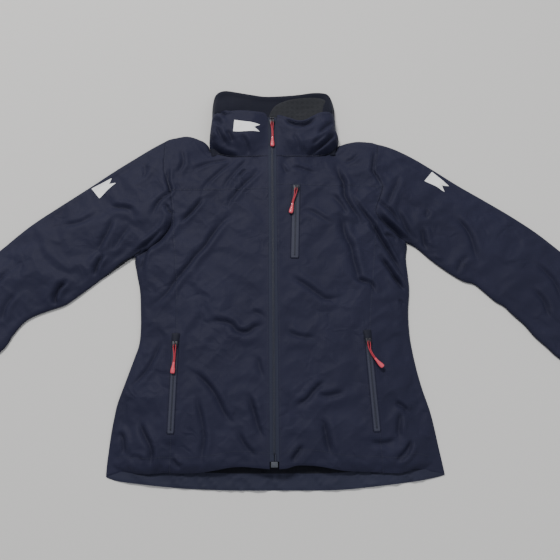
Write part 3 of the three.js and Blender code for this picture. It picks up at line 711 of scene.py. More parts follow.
# Folds of the cloth: depth, width, then x,y along the valley. Each has a ridge on either side.
FOLDS = [
    # body
    (3,9, -18,535, -36,518, -59,494, -77,469, -84,449),
    (4,11, -67,443, -92,423, -110,398, -122,377, -137,360, -150,341, -171,315, -191,286,
     -219,264),
    (4,8, -130,476, -134,464, -146,447, -162,430, -169,420),
    (2.5,7, -72,553, -97,531, -118,509, -129,491), (2.5,7, -75,555, -114,551, -142,538, -152,528),
    (2.5,6, -50,533, -64,515), (2,7, -46,555, -61,538, -83,509, -94,488),
    (2.5,8, -174,579, -169,548, -179,522), (3,9, -227,389, -232,359, -237,332),
    (5,10, 121,544, 126,519, 133,500, 134,473, 147,446, 164,420),
    (2.5,8, 164,565, 152,553, 135,547),
    (4.5,12, 123,447, 127,422, 131,394, 140,372, 146,338, 155,310, 178,300),
    (3,8, 170,422, 184,405, 196,384, 211,359), (5,8, 189,359, 205,335, 220,312, 234,293),
    (4.5,7, 138,486, 157,452, 177,424, 196,391, 214,357, 236,313),
    (3.5,8, 194,440, 207,422, 224,407, 239,390), (3.5,6, 190,466, 206,452, 222,436, 234,416),
    (3.5,6, 196,572, 192,545, 189,525, 197,506, 201,488),
    (2.5,7, 197,396, 218,393, 225,382), (3,10, 28,318, 55,303, 76,286, 94,275, 121,280),
    (2,7, 35,535, 54,532, 82,522), (2.5,6, 16,545, 27,520),
    (2,8, 57,447, 74,441, 92,427, 108,417),
    (3,9, 110,479, 126,455, 135,432), (2.5,9, -41,255, -25,251, -9,240),
    (3.5,10, -120,236, -97,238, -73,233, -62,220, -44,218, -31,227, -7,231),
    (4,11, -143,155, -122,142, -101,119, -88,96, -80,81, -68,70, -56,74),
    (3.5,10, -129,116, -123,92, -117,68, -113,43, -116,19, -116,-2),
    (4.5,12, -43,115, -35,91, -25,59, -10,37), (3.5,11, -25,176, -23,158, -15,138),
    (4.5,9, -222,73, -211,51, -201,34, -197,20, -199,-1), (4,9, -258,54, -248,47, -243,18),
    (3,8, -235,16, -218,13, -211,7), (3,7, -167,13, -156,3, -147,-1),
    (3,9, -60,57, -50,36, -37,21, -25,16), (3,10, -190,210, -201,182, -215,155, -242,125),
    (2.5,9, 19,221, 42,210, 73,207), (3,10, 68,112, 88,109, 119,116),
    (3.5,10, 32,92, 53,103, 66,117, 87,137), (4.5,13, 78,75, 84,50, 88,26, 92,13),
    (3.5,9, 26,4, 36,18, 48,32), (3,8, 198,98, 213,90, 220,80), (3.5,9, 207,81, 203,59, 202,40),
    (5,9, 224,39, 212,18, 194,4), (3,9, 154,35, 179,33, 197,40),
    (3,8, 142,322, 149,311, 173,302, 177,282), (3.5,8, 210,324, 224,301, 234,290),
    (2.5,7, 220,276, 229,265),
    # sleeves
    (3.5,7, -196,545, -195,508, -190,486, -208,470, -217,452, -220,434),
    (4,7, -196,418, -212,400, -232,384, -254,370), (3.5,7, -197,463, -191,448, -182,439),
    (2.5,10, -246,553, -240,534, -244,515), (3,10, -304,462, -281,458, -253,452),
    (3.5,11, -292,437, -304,405, -321,369), (5,9, -306,368, -317,345, -320,324),
    (6,9, -364,318, -380,303, -386,284, -379,268), (2.5,10, -390,424, -354,430, -326,446),
    (2.5,10, -262,423, -278,397, -291,374),
    (4,10, 272,413, 275,387, 276,367), (3,9, 286,448, 281,428), (3,9, 287,348, 305,344),
    (3,10, 241,519, 222,478, 207,447), (2.5,9, 354,357, 338,344, 325,319),
    (3,10, 335,436, 358,396, 367,343), (3,9, 226,447, 239,423, 252,391),
    # forearms, beyond the elbow
    (3,11, -470,340, -492,310, -505,262), (3,10, -452,300, -470,272, -474,240),
    (3,10, -560,262, -572,226, -590,180), (2.5,10, -610,205, -628,170, -634,130),
    (2.5,10, -520,330, -548,300, -566,268),
    (3,11, 470,340, 498,304, 508,262), (3,10, 455,296, 474,268, 478,236),
    (3,10, 566,268, 576,222, 596,178), (2.5,10, 616,200, 630,166, 640,128),
    (2.5,10, 524,322, 552,296, 572,262),
]
# the deep tucks under the arms, where sleeve lies over body; same columns
TUCKS = [(9,7, -184,438, -189,416, -203,395, -224,380, -247,364),
         (6,6, 189,440, 199,426, 220,407, 242,387)]
COLLAR_FOLDS = [
    (5,7, 126,606, 96,580, 77,566, 69,558), (3,6, 105,600, 86,585, 75,576),
    (4.5,6, 120,569, 92,563, 71,559), (5,7, -120,590, -106,574, -85,564, -63,558),
    (4,7, -110,658, -96,649, -87,640), (3.5,7, -107,622, -98,599, -85,580),
    (3,7, -86,609, -74,585), (4,7, 22,641, 35,625, 54,618, 73,624, 86,636),
    (3,7, 121,631, 101,613, 87,596), (2.5,7, -60,600, -48,580, -44,563),
    (2,7, 40,600, 48,582, 50,566), (3,8, -118,640, -104,630, -96,616),
]

# Pocket zips: the ends, the tape opening's width, how far the flat ground round it fades out,
# where the pull's tip hangs from its slider, and the pull's sway.
POCKETS = [
    SimpleNamespace(name="right_pocket", line=points(-166.5,205, -167.5,52), width=10,
                    fade=11.0, tip=(-1.2, -48.2), bend=0.8, garage=True),
    SimpleNamespace(name="left_pocket", line=points(160,207, 166,52), width=10,
                    fade=11.0, tip=(20, -44), bend=1.2, garage=True),
    SimpleNamespace(name="chest_pocket", line=points(44,496, 38.5,352), width=13,
                    fade=12.0, tip=(-9.0, -50.5), bend=-3.2, garage=False),
]

SILHOUETTE = [spline(np.vstack([a[::-1], b[1:]]), 120) for side in SIDES
              for a, b in ((side.sleeve_low, side.flank),
                           (side.sleeve_top, side.shoulder[::-1]))]

# ---------------------------------------------------------------- height of the jacket's front
SLACK = None         # (x0, y0, spacing, height grid): what the cloth simulation adds


def slack_height(x, y):
    """Cubic look-up in the simulated height field."""
    if SLACK is None:
        return np.zeros(x.shape)
    x0, y0, spacing, heights = SLACK
    u = np.clip((x - x0) / spacing, 1.0, heights.shape[1] - 2.001)
    v = np.clip((y - y0) / spacing, 1.0, heights.shape[0] - 2.001)
    j, i = np.floor(u).astype(int), np.floor(v).astype(int)

    def weights(t):
        return (-0.5 * t + t * t - 0.5 * t ** 3, 1 - 2.5 * t * t + 1.5 * t ** 3,
                0.5 * t + 2 * t * t - 1.5 * t ** 3, -0.5 * t * t + 0.5 * t ** 3)
    across, up = weights(u - j), weights(v - i)
    total = np.zeros(x.shape)
    for a in range(4):
        for b in range(4):
            total += up[a] * across[b] * heights[i + a - 1, j + b - 1]
    return total


def silhouette_distance(x, y):
    return np.minimum.reduce([distance_to(x, y, chain) for chain in SILHOUETTE])


def crease(across, valley, power, *ridges):
    """Cross-section of a fold; ridges are (height, offset from the valley, width)."""
    profile = -np.exp(-np.abs(across / valley) ** power)
    for height, offset, width in ridges:
        profile = profile + height * bell(across - offset, width)
    return profile


def resting_height(x, y, edge):
    """The smooth pillow of the body and sleeves, edge being the distance to the silhouette."""
    top = 15.5 + 7.5 * ease(330, 200, np.abs(x))
    z = 3.0 + 4.5 * rounded_rim(edge, 9) + (top - 7.5) * (1 - np.exp(-(edge / 44.0) ** 1.35))
    # lower towards the hem, away from the zip
    z -= (6.5 * np.exp(-np.clip(y + 12, 0, None) / 55.0) * ease(330, 280, np.abs(x))
          * ease(120, 90, y) * ease(0, 60, np.abs(x)))
    # the hem's edge turns down onto the back beside the zip
    z -= 5.0 * ease(70, 140, np.abs(x)) * ease(6, -12, y)
    return z


def fold_relief(x, y):
    relief = np.zeros_like(x)
    for depth, width, *course in FOLDS:
        depth, width = 0.88 * depth, 0.80 * width
        curve = spline(points(*course), 26)
        low, high = curve.min(0) - 4.2 * width, curve.max(0) + 4.2 * width
        inside = (x > low[0]) & (x < high[0]) & (y > low[1]) & (y < high[1])
        if not inside.any():
            continue
        distance, share, hand = nearest(x[inside], y[inside], curve)
        ends = ease(-0.02, 0.28, share) * ease(1.02, 0.72, share)
        ends = ends * np.exp(-np.clip(distance - width * 2.6, 0, None) / width)
        across = distance * hand
        valley = np.where(across > 0, max(0.42 * width, 3.4), max(0.62 * width, 3.8))
        profile = crease(across, valley, 1.8, (0.66, 1.15 * width, 0.72 * width),
                         (0.36, -1.5 * width, 1.1 * width), (-0.22, 0, 4.2))
        relief[inside] += 1.05 * depth * profile * ends
    for depth, width, *course in TUCKS:
        distance, share, hand = nearest(x, y, spline(points(*course), 30))
        across = distance * hand * np.sign(course[0])
        relief += depth * ease(0, 0.22, share) * crease(
            across, width, 1.5, (0.42, 1.5 * width, 0.9 * width),
            (0.25, -1.8 * width, 1.2 * width))
    return relief


def wrinkles(x, y):
    """Broad swells, two crossing sets of sharp ridges, fine grain and the simulated slack."""
    swell = noise(x, y, 85, 3) + 0.5 * noise(x, y, 47, 4)
    bent_x = x + 9 * noise(x, y, 60, 5)
    bent_y = y + 9 * noise(x, y, 60, 6)
    cos, sin = math.cos(0.9), math.sin(0.9)
    mirror = np.sign(x) * -1
    ridges = 1 - np.abs(noise(bent_x * cos + mirror * bent_y * sin,
                              (-mirror * bent_x * sin + bent_y * cos) * 0.42, 24, 7))
    crossing = 1 - np.abs(noise(bent_x * cos - mirror * bent_y * sin,
                                (mirror * bent_x * sin + bent_y * cos) * 0.5, 17, 8))
    calm = (1 - 0.45 * np.exp(-(x / 150.0) ** 4) * ease(120, 200, y) * ease(430, 360, y)
            - 0.35 * ease(260, 330, np.abs(x)))
    return (1.1 * calm * swell + 0.7 * calm * (ridges ** 3 - 0.35)
            + 0.4 * (crossing ** 3 - 0.35) + 0.10 * noise(x, y, 7, 9) + slack_height(x, y))


def front_height(x, y):
    x, y = array(x), array(y)
    edge = silhouette_distance(x, y)
    relief = (fold_relief(x, y) + wrinkles(x, y)) * ease(0, 16, edge)
    near_zip = ease(7, 26, np.abs(x)) * 0.96 + 0.04
    z = resting_height(x, y, edge) + relief * np.where(np.abs(x) < 60, near_zip, 1.0)
    # level ground along the front zip and the pocket zips
    z = mix(z, ZIP_HEIGHT + 0.1, bell(np.abs(x), 17.0) * ease(-30, 5, y))
    for pocket in POCKETS:
        beyond = np.clip(distance_to(x, y, pocket.line) - 4, 0, None)
        z = mix(z, ZIP_HEIGHT - 0.15, np.exp(-beyond ** 2 / pocket.fade ** 2))
    # the cloth stands clear of the cord locks in the hem
    for lock_x in (-216, 216):
        weight = np.exp(-((x - lock_x) ** 2 + (y - 10) ** 2) / 17.0 ** 2)
        z = mix(z, np.maximum(z, 14.5), weight)
    return np.maximum(z, 3.0)


def lift(grid):
    return at_height(grid, front_height(*split(grid)))


# ---------------------------------------------------------------- slack from a cloth simulation
SHEET_SPACING = 4.2
SHEET_X, SHEET_Y = (-740.0, 740.0), (-30.0, 620.0)
SHEET_FRAMES = 14
SHEET_SPARE = 0.030          # largest share by which the cloth is too long
SHEET_LIMIT = 5.0            # height change is held softly under this
CLOTH_SETTINGS = dict(
    quality=5, mass=0.12, air_damping=1.0,
    tension_stiffness=22, compression_stiffness=22, shear_stiffness=7, bending_stiffness=3.0,
    tension_damping=5, compression_damping=5, shear_damping=3, bending_damping=0.5,
    vertex_group_mass="hold", pin_stiffness=1.0,
    vertex_group_shrink="slack", shrink_min=-SHEET_SPARE, shrink_max=0.0)
# where the cloth has most to spare: x, y, radius, amount
SPARE_SPOTS = ((-190, 440, 95, 0.5), (190, 440, 95, 0.55), (-330, 340, 110, 0.22),
               (330, 360, 110, 0.10), (-215, 40, 80, 0.4), (215, 50, 80, 0.4),
               (0, 20, 120, 0.2), (150, 540, 70, 0.3))
FRONT_OUTLINE = np.vstack([
    spline(RIGHT.hem, 60)[::-1], spline(LEFT.hem, 60), spline(LEFT.flank, 60)[::-1],
    spline(LEFT.sleeve_low, 60), spline(LEFT.sleeve_top, 80)[::-1],
    spline(LEFT.shoulder, 30)[::-1], spline(LEFT.neck, 20)[::-1], spline(RIGHT.neck, 20),
    spline(RIGHT.shoulder, 30), spline(RIGHT.sleeve_top, 80),
    spline(RIGHT.sleeve_low, 60)[::-1], spline(RIGHT.flank, 60)])


def inside_outline(x, y, outline):
    odd = np.zeros(x.shape, bool)
    x1, y1 = outline[-1]
    for x0, y0 in outline:
        rise = (y1 - y0) if abs(y1 - y0) > 1e-9 else 1e-9
        odd ^= ((y0 > y) != (y1 > y)) & (x < (x1 - x0) * (y - y0) / rise + x0)
        x1, y1 = x0, y0
    return odd


def hold_weight(x, y):
    """How firmly the sheet is pinned: wholly at edges and zips, partly along the seams."""
    weight = np.full(x.shape, 0.08)
    weight = np.where(silhouette_distance(x, y) < 6, 1.0, weight)
    weight = np.where(np.abs(x) < 9, 1.0, weight)
    for pocket in POCKETS:
        weight = np.where(distance_to(x, y, pocket.line) < 8, 1.0, weight)
    for side in SIDES:
        seam = distance_to(x, y, spline(side.armhole, 60)) < 3
        weight = np.where(seam, np.maximum(weight, 0.55), weight)
    for side in SIDES:
        for line in (side.princess, side.yoke):
            seam = distance_to(x, y, spline(line, 30)) < 3
            weight = np.where(seam, np.maximum(weight, 0.38), weight)
    hem = np.vstack([spline(RIGHT.hem, 40)[::-1], spline(LEFT.hem, 40)])
    return np.where(distance_to(x, y, hem) < 4, 1.0, weight)


def spare_weight(x, y):
    weight = 0.22 + 0.20 * noise(x, y, 120, 91)
    for spot_x, spot_y, radius, amount in SPARE_SPOTS:
        weight += amount * np.exp(-((x - spot_x) ** 2 + (y - spot_y) ** 2) / radius ** 2)
    weight += 0.06 * ease(230, 300, np.abs(x)) + 0.15 * ease(150, 230, np.abs(x))
    return weight


def simulate_slack():
    """Lays cloth a little too long on the sculpted form; returns its height change on a grid."""
    step = SHEET_SPACING
    x, y = np.meshgrid(np.arange(SHEET_X[0], SHEET_X[1] + step, step),
                       np.arange(SHEET_Y[0], SHEET_Y[1] + step, step))
    used = inside_outline(x, y, FRONT_OUTLINE)
    rest = front_height(x, y)
    jitter = np.random.default_rng(5).normal(0, 0.10, rest.shape)
    index = -np.ones(x.shape, int)
    index[used] = np.arange(used.sum())
    faces = quads(index)
    faces = faces[(faces >= 0).all(1)]
    sheet = make("front_sheet", np.stack([x[used], y[used], (rest + jitter)[used]], 1), faces)

    levels = [(sheet.vertex_groups.new(name="hold"), np.clip(hold_weight(x, y)[used], 0, 1)),
              (sheet.vertex_groups.new(name="slack"),
               1 - np.clip(spare_weight(x, y)[used], 0, 1))]
    for level in range(33):
        for group, weight in levels:
            members = np.nonzero(np.round(weight * 32) == level)[0]
            if len(members):
                group.add(members.tolist(), level / 32, "REPLACE")

    cloth = sheet.modifiers.new("Cloth", "CLOTH")
    for key, value in CLOTH_SETTINGS.items():
        setattr(cloth.settings, key, value)
    cloth.settings.effector_weights.gravity = 0.0
    cloth.collision_settings.use_collision = False
    cloth.collision_settings.use_self_collision = False
    cloth.point_cache.frame_start = 1
    cloth.point_cache.frame_end = SHEET_FRAMES + 1
    scene = bpy.context.scene
    for number in range(1, SHEET_FRAMES + 1):
        scene.frame_set(number)
    evaluated = sheet.evaluated_get(bpy.context.evaluated_depsgraph_get())
    mesh = evaluated.to_mesh()
    settled = np.zeros(len(mesh.vertices) * 3)
    mesh.vertices.foreach_get("co", settled)
    settled = settled.reshape(-1, 3) * 1000
    evaluated.to_mesh_clear()

    change = np.zeros(x.shape)
    change[used] = settled[:, 2] - rest[used]
    change = SHEET_LIMIT * np.tanh(np.nan_to_num(change) / SHEET_LIMIT)
    bpy.data.objects.remove(sheet, do_unlink=True)
    scene.frame_set(1)
    # a light blur takes the grid's own step out
    change = (change + 0.25 * (np.roll(change, 1, 0) + np.roll(change, -1, 0)
                               + np.roll(change, 1, 1) + np.roll(change, -1, 1))) / 2
    change[~used] = 0
    return SHEET_X[0], SHEET_Y[0], step, change


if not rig.quick():
    SLACK = simulate_slack()

# ---------------------------------------------------------------- stitching
STITCHES = {}        # body -> rows of stitch centres


def sew(body, line, height):
    STITCHES.setdefault(body, []).append(np.c_[line, height + 0.12])


def sew_beside(seam, offset):
    """A row of stitches on the torso, offset to one side of a seam."""
    row = spline(seam, max(8, int(length_of(seam) / STITCH_PITCH)))
    along = unit(np.gradient(row, axis=0))
    row = row + np.stack([-along[:, 1], along[:, 0]], 1) * offset
    sew("torso", row, front_height(row[:, 0], row[:, 1]))


def sew_cuff(side):
    body = f"{side.name}_forearm"
    share = np.linspace(0, 1, 40)[:, None]
    for reach in (634.0, 637.5):                 # double row along the turned cuff edge
        row = (side.root + side.along * (reach - 26 + 5 * np.sin(math.pi * share))
               + side.across * (-48 + 96 * share))
        sew(body, row, front_height(row[:, 0], row[:, 1]))
    # the tab's rim and the box at its fixed end: offsets along and across the sleeve
    rim = points(-13.3,-27.5, -12.4,19, -9,26, 0,27.6, 9,26, 12.4,19, 13.3,-27.5,
                 -13.3,-27.5)
    box = points(-13.3,-27.5, 13.3,-27.5, 13.3,-14, -13.3,-14, -13.3,-27.5)
    for outline, count in ((rim, 70), (box, 34)):
        row = (side.root + side.along * (CUFF_TAB_REACH + outline[:, :1])
               + side.across * outline[:, 1:])
        row = resample(row, count)
        sew(f"{side.name}_cuff_tab", row, front_height(row[:, 0], row[:, 1]) + 2.45)


def build_stitches():
    for body, rows in STITCHES.items():
        along = np.vstack([np.c_[unit(np.gradient(row[:, :2], axis=0)), np.zeros(len(row))]
                           for row in rows])
        across = np.stack([-along[:, 1], along[:, 0], along[:, 2]], 1)
        name = "seam_stitching" if body == "torso" else body + "_stitching"
        thread = bars(name, np.vstack(rows), along, across, (2.3, 0.5, 0.42), THREAD, taper=0.6)
        attach(thread, "shell", body=body)


# ---------------------------------------------------------------- torso front
def nearest_index(line, point):
    return int(np.argmin(np.hypot(*(line - point).T)))


def stretch(line, start, end):
    """The part of a dense line from the point nearest start to the point nearest end."""
    i, j = nearest_index(line, start), nearest_index(line, end)
    return line[i:j + 1] if i <= j else line[j:i + 1][::-1]


def sink_seams(grid, *edges, depth=0.26):
    """Pulls the named grid edges down into a seam and rounds the cloth beside them."""
    z = grid[..., 2]
    rows = {"bottom": z, "top": z[::-1], "inner": z.T, "outer": z.T[::-1]}
    for edge in edges:
        rows[edge][0] -= depth
        rows[edge][1] += 0.05


def build_front(side):
    """Yoke, front panel and side panel of one half, each from the zip outwards."""
    name, sign, zip_x = side.name, side.sign, side.zip_x
    arm = spline(side.armhole, 400)
    hem = spline(side.hem, 400)
    yoke, princess = side.yoke.copy(), side.princess.copy()
    yoke_end = yoke[-1] = arm[nearest_index(arm, yoke[-1])]
    princess_top = princess[0] = arm[nearest_index(arm, princess[0])]
    foot = int(np.argmin(np.abs(hem[:, 0] - princess[-1][0])))
    princess[-1] = hem[foot]
    yoke_seam = spline(yoke, 60)
    princess_seam = spline(princess, 120)[::-1]
    zip_foot, zip_yoke, zip_neck = [zip_x, side.hem[0][1]], [zip_x, yoke[0][1]], [zip_x, 557]

    top = spline(np.vstack([side.neck, side.shoulder[1:]]), 60)
    grid = lift(coons(yoke_seam, top, [zip_yoke, zip_neck],
                      stretch(arm, yoke_end, side.armhole[0]), 84, 46))
    sink_seams(grid, "bottom", "outer")
    sink_seams(grid, "inner", depth=0.05)
    attach(shell(f"{name}_yoke_cloth", grid, 0.8, SHELL), "shell", f"{name}_front_yoke")

    outer = np.vstack([princess_seam, stretch(arm, princess_top, yoke_end)[1:]])
    grid = lift(coons(hem[:foot + 1], yoke_seam, [zip_foot, zip_yoke], outer, 72, 208))
    sink_seams(grid, "top", "outer")
    sink_seams(grid, "inner", depth=0.05)
    grid[0, :, 2] -= 1.6
    grid[1, :, 2] -= 0.4
    attach(shell(f"{name}_front_cloth", grid, 0.9, SHELL), "shell", f"{name}_front_panel")

    grid = lift(coons(hem[foot:], stretch(arm, princess_top, side.armhole[-1]),
                      princess_seam, spline(side.flank, 120)[::-1], 44, 180))
    sink_seams(grid, "inner")
    grid[:, -1, 2] = 2.2
    grid[0, :, 2] -= 1.2
    attach(shell(f"{name}_side_cloth", grid, 0.9, SHELL), "shell", f"{name}_side_panel")

    sew_beside(yoke, 2.2 * sign)
    sew_beside(princess, 2.4)
    sew_beside(side.neck, 2.4 * sign)
    sew_beside(stretch(arm, side.armhole[0] + [0, -14], princess_top), -2.4 * sign)
    sew_beside(side.hem[:-1] + [0, 24], 0)
    zip_row = zip_x + sign * 2.6
    sew_beside(points(zip_row, 3, zip_row, 300, zip_row, 553), 0)


# ---------------------------------------------------------------- torso back
def tail_wave(x, y):
    """The loose tail of the back ripples where the front no longer holds it down."""
    ridges = 1 - np.abs(noise(0.9 * x + 0.8 * y, 0.5 * y - 0.3 * x, 17, 24))
    return ease(34, -4, y) * ease(262, 222, np.abs(x)) * (
        1.4 + 1.1 * noise(x, 1.3 * y, 34, 23) + 2.4 * (ridges ** 4 - 0.22))


def build_back():
    """One panel under everything."""
    edges = [spline(np.vstack([side.flank[::-1], side.armhole[::-1][1:]]), 120)
             for side in SIDES]
    top = np.vstack([RIGHT.shoulder[::-1], points(-60,577, 60,577), LEFT.shoulder])
    grid = coons(spline(BACK_HEM, 80), spline(top, 80), *edges, 80, 110)
    x, y = split(grid)
    z = 0.9 + 0.35 * noise(x, y, 60, 21) + 0.15 * noise(x, y, 22, 22) + tail_wave(x, y)
    z[:, [0, -1]] = 2.0
    z[:, [1, -2]] = 1.3
    back = shell("back_cloth", at_height(grid, np.maximum(z, 0.45)), 0.4, SHELL)
    attach(back, "shell", "back_panel")


def tail_band(low, high, height, rows, inset):
    """A band on the back between two distances above its hem."""
    tail = spline(BACK_HEM, 90)
    u = np.linspace(0, 1, rows + 1)[:, None, None]
    grid = (tail + [0, low])[None] * (1 - u) + (tail + [0, high])[None] * u
    x, y = split(grid)
    flanks = [spline(side.flank, 120)[::-1] for side in SIDES]
    right, left = [np.interp(y, flank[:, 1], flank[:, 0]) for flank in flanks]
    right, left = right + inset, left - inset
    grid[..., 0] = right + (left - right) * (x - tail[0, 0]) / (tail[-1, 0] - tail[0, 0])
    x, y = split(grid)
    z = height + 0.5 * noise(x, y, 24, 31) + 0.35 * noise(x, y, 9, 32) + tail_wave(x, y)
    return at_height(grid, z)


def build_tail():
    """The turned-up hem facing and the lining above it."""
    grid = tail_band(0.6, 27, height=2.3, rows=9, inset=2.5)
    grid[0, :, 2] -= 0.9
    grid[-1, :, 2] += 0.5
    # the facing wears the brightened shell cloth, painted light against the front hem's shade
    attach(shell("hem_facing_cloth", grid, 0.7, SHELL_INSIDE_PAINTED_LIGHT), "shell_dark", "hem_facing")
    grid = tail_band(26.6, 150, height=2.9, rows=22, inset=6.0)
    attach(shell("back_lining_cloth", grid, 0.6, LINING), "lining", "back_lining")


# ---------------------------------------------------------------- sleeves
SLEEVE_STEPS, SLEEVE_ACROSS = 210, 78
SLEEVE_CUT = 78              # step where the upper piece ends and the forearm piece begins
JOINT_HEIGHT = 0.0085        # metres


def blend_span(centre, along, start, end):
    ends = [(centre + along * reach) / 1000 for reach in (start, end)]
    return {key: (x, y, JOINT_HEIGHT) for key, (x, y) in zip(("start", "end"), ends)}


def blend_shoulder(obj, side):
    span = blend_span(array([193 * side.sign, 480]), side.along, 12, 125)
    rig.blend(obj, "torso", f"{side.name}_upper_sleeve", **span)


def build_sleeve(side):
    """One tube, parted where it no longer follows the torso."""
    name = side.name
    underarm_up = spline(side.armhole, SLEEVE_ACROSS)[::-1]
    cuff = np.linspace(side.sleeve_low[-1], side.sleeve_top[-1], SLEEVE_ACROSS + 1)
    bow = np.sin(np.linspace(0, math.pi, SLEEVE_ACROSS + 1))[:, None]
    cuff = cuff + side.along * 5.0 * bow
    grid = coons(spline(side.sleeve_low, SLEEVE_STEPS), spline(side.sleeve_top, SLEEVE_STEPS),
                 underarm_up, cuff, SLEEVE_STEPS, SLEEVE_ACROSS)
    x, y = split(grid)
    top = front_height(x, y)
    top[:, 0] -= 1.1
    top[:, 1] += 0.2
    top[0] = top[-1] = 2.9
    under = (1.7 + 0.75 * noise(x, y, 60, 41) + 0.45 * noise(x + y * 0.6, y, 26, 42)
             - 0.30 * slack_height(x, y))
    under = 0.45 + np.log1p(np.exp(3.0 * (under - 0.45))) / 3.0      # stays above the floor
    lower = at_height(grid, under)[1:-1][::-1]
    lower[[0, -1], :, 2] = 1.9
    # from (around, along) to (along, around), with the normals outwards
    tube = np.transpose(np.concatenate([at_height(grid, top), lower], 0), (1, 0, 2))
    normals = grid_normals(tube, wrap=True)
    if np.sum(normals * (tube - tube.mean(1, keepdims=True))) < 0:
        tube = tube[:, ::-1]
        normals = grid_normals(tube, wrap=True)

    def piece(label, part):
        return shell(f"{name}_sleeve_{label}_cloth", tube[part], 0.8, SHELL, wrap=True,
                     normals=normals[part], inner=LINING)
    upper = piece("top", slice(None, SLEEVE_CUT + 1))
    forearm = piece("low", slice(SLEEVE_CUT, None))
    blend_shoulder(upper, side)
    elbow = side.root + 300 * side.along
    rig.blend(forearm, f"{name}_upper_sleeve", f"{name}_forearm",
             **blend_span(elbow, side.along, -26, 26))
    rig.replaces(upper, f"{name}_upper_sleeve", f"{name}_upper_sleeve_lining")
    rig.replaces(forearm, f"{name}_forearm_sleeve", f"{name}_forearm_lining")
    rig.slot(upper, "shell")
    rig.slot(forearm, "shell")


# ---------------------------------------------------------------- inside pieces under the front
def hang(node, grid, gap, floor, material, slot):
    """A sheet hung gap below the front's surface, never lower than floor."""
    z = np.maximum(front_height(*split(grid)) - gap, floor)
    attach(shell(f"{node}_cloth", at_height(grid, z), 0.5, material), slot, node)


def build_front_lining(side):
    sign = side.sign
    flank = spline(side.flank, 60)[::-1]
    inner_x = 26 * sign
    top = points(inner_x, 548, sign * 128, 548, sign * 186, 548)
    outer = np.vstack([flank[4:] * [0.94, 1], points(
        sign * 196, 400, sign * 178, 430, sign * 184, 500, sign * 186, 548)])
    grid = coons(points(inner_x, 13, flank[6][0] * 0.94, 13), top,
                 points(inner_x, 13, inner_x, 548), outer, 44, 130)
    # the lining stops above the hem channel and its cord locks
    grid[..., 1] = 24 + (grid[..., 1] - 13) * 524 / 535
    hang(f"{side.name}_front_lining", grid, 4.4, 3.6, LINING, "lining")


def build_hung_pieces():
    # node, x from, x to, y from, y to, gap, material, slot, steps across, steps up
    for node, x0, x1, y0, y1, gap, material, slot, across, up in (
            ("storm_flap", -24, 24, 10, 545, 2.6, SHELL_INSIDE_PAINTED_LIGHT, "shell_dark", 14, 130),
            ("right_pocket_bag", -158, -46, 36, 226, 2.9, POCKET_MESH, "mesh", 30, 50),
            ("left_pocket_bag", 46, 158, 36, 226, 2.9, POCKET_MESH, "mesh", 30, 50),
            ("chest_pocket_bag", 30, 134, 342, 480, 2.9, POCKET_MESH, "mesh", 30, 50)):
        grid = coons(points(x0, y0, x1, y0), points(x0, y1, x1, y1),
                     points(x0, y0, x0, y1), points(x1, y0, x1, y1), across, up)
        hang(node, grid, gap, 3.4, material, slot)


# ---------------------------------------------------------------- collar
def surface_height(obj):
    """A function giving the top of an object at x, y; zip height where there is none."""
    mesh = obj.data
    tree = BVHTree.FromPolygons([v.co[:] for v in mesh.vertices],
                                [p.vertices[:] for p in mesh.polygons])

    def height(x, y):
        z = np.zeros(x.shape)
        for i in np.ndindex(x.shape):
            hit = tree.ray_cast(Vector((x[i] / 1000, y[i] / 1000, 0.2)), Vector((0, 0, -1)))[0]
            z[i] = hit.z * 1000 if hit is not None else ZIP_HEIGHT
        return z
    return height


def collar_height(grid):
    """Height of a collar half whose grid runs from zip to side and from neck seam to top."""
    x, y = split(grid)
    outwards = np.linspace(0, 1, grid.shape[1])[None, :]
    upwards = np.linspace(0, 1, grid.shape[0])[:, None]
    seam = front_height(x[0], y[0])[None, :] - 1.0
    bulge = 24.1 + 8.5 * ease(0.02, 0.32, outwards) + 1.5 * np.sin(upwards * math.pi)
    edge = 8.5 + 1.5 * np.sin(upwards * 2.4)
    turn = np.clip((outwards - 0.72) / 0.28, 0, 1)
    bulge = edge + (bulge - edge) * np.sqrt(np.clip(1 - turn ** 2.4, 0, 1))
    z = seam + (bulge - seam) * ease(-0.02, 0.42, upwards)

    relief = np.zeros_like(z)
    for depth, width, *course in COLLAR_FOLDS:
        distance, share, hand = nearest(x, y, spline(points(*course), 24))
        ends = ease(-0.02, 0.25, share) * ease(1.05, 0.75, share)
        relief += 1.15 * depth * ends * crease(
            distance * hand, max(0.50 * width, 3.4), 1.7, (0.66, 1.1 * width, 0.7 * width),
            (0.38, -1.4 * width, width), (-0.22, 0, 4.2))
    ridges = 1 - np.abs(noise(x * 0.8 + y * 0.5, y * 0.7 - x * 0.4, 15, 52))
    relief += 0.9 * noise(x, y, 34, 51) + 0.6 * (ridges ** 3 - 0.35) + 0.12 * noise(x, y, 6, 53)
    z = z + relief * ease(0, 0.12, outwards) * ease(1.0, 0.90, outwards)
    return np.maximum(mix(z, 24.1, bell(x, 13.0)), 4.0)


def build_collar_front(side):
    """Shell outside, fleece inside, with a rolled top edge."""
    across, up = 44, 34
    zip_line = points(side.zip_x, 557, side.zip_x, side.collar_top[0][1])
    grid = coons(spline(side.neck, across), spline(side.collar_top, across),
                 zip_line, spline(side.collar_side, up), across, up)
    grid = at_height(grid, collar_height(grid))
    grid[-1, :, 2] -= 2.0
    grid[-2, :, 2] -= 0.35
    grid[0, :, 2] -= 0.5
    collar = shell(f"{side.name}_collar_front", grid, 2.6, SHELL, inner=FLEECE)
    attach(collar, "shell", *(["collar_shell"] if side is RIGHT else []))
    row = spline(side.collar_top, 60)[4:-3] + [0, -6.0]
    row = resample(row, max(6, int(length_of(row) / STITCH_PITCH)))
    sew("torso", row, surface_height(collar)(row[:, 0], row[:, 1]))


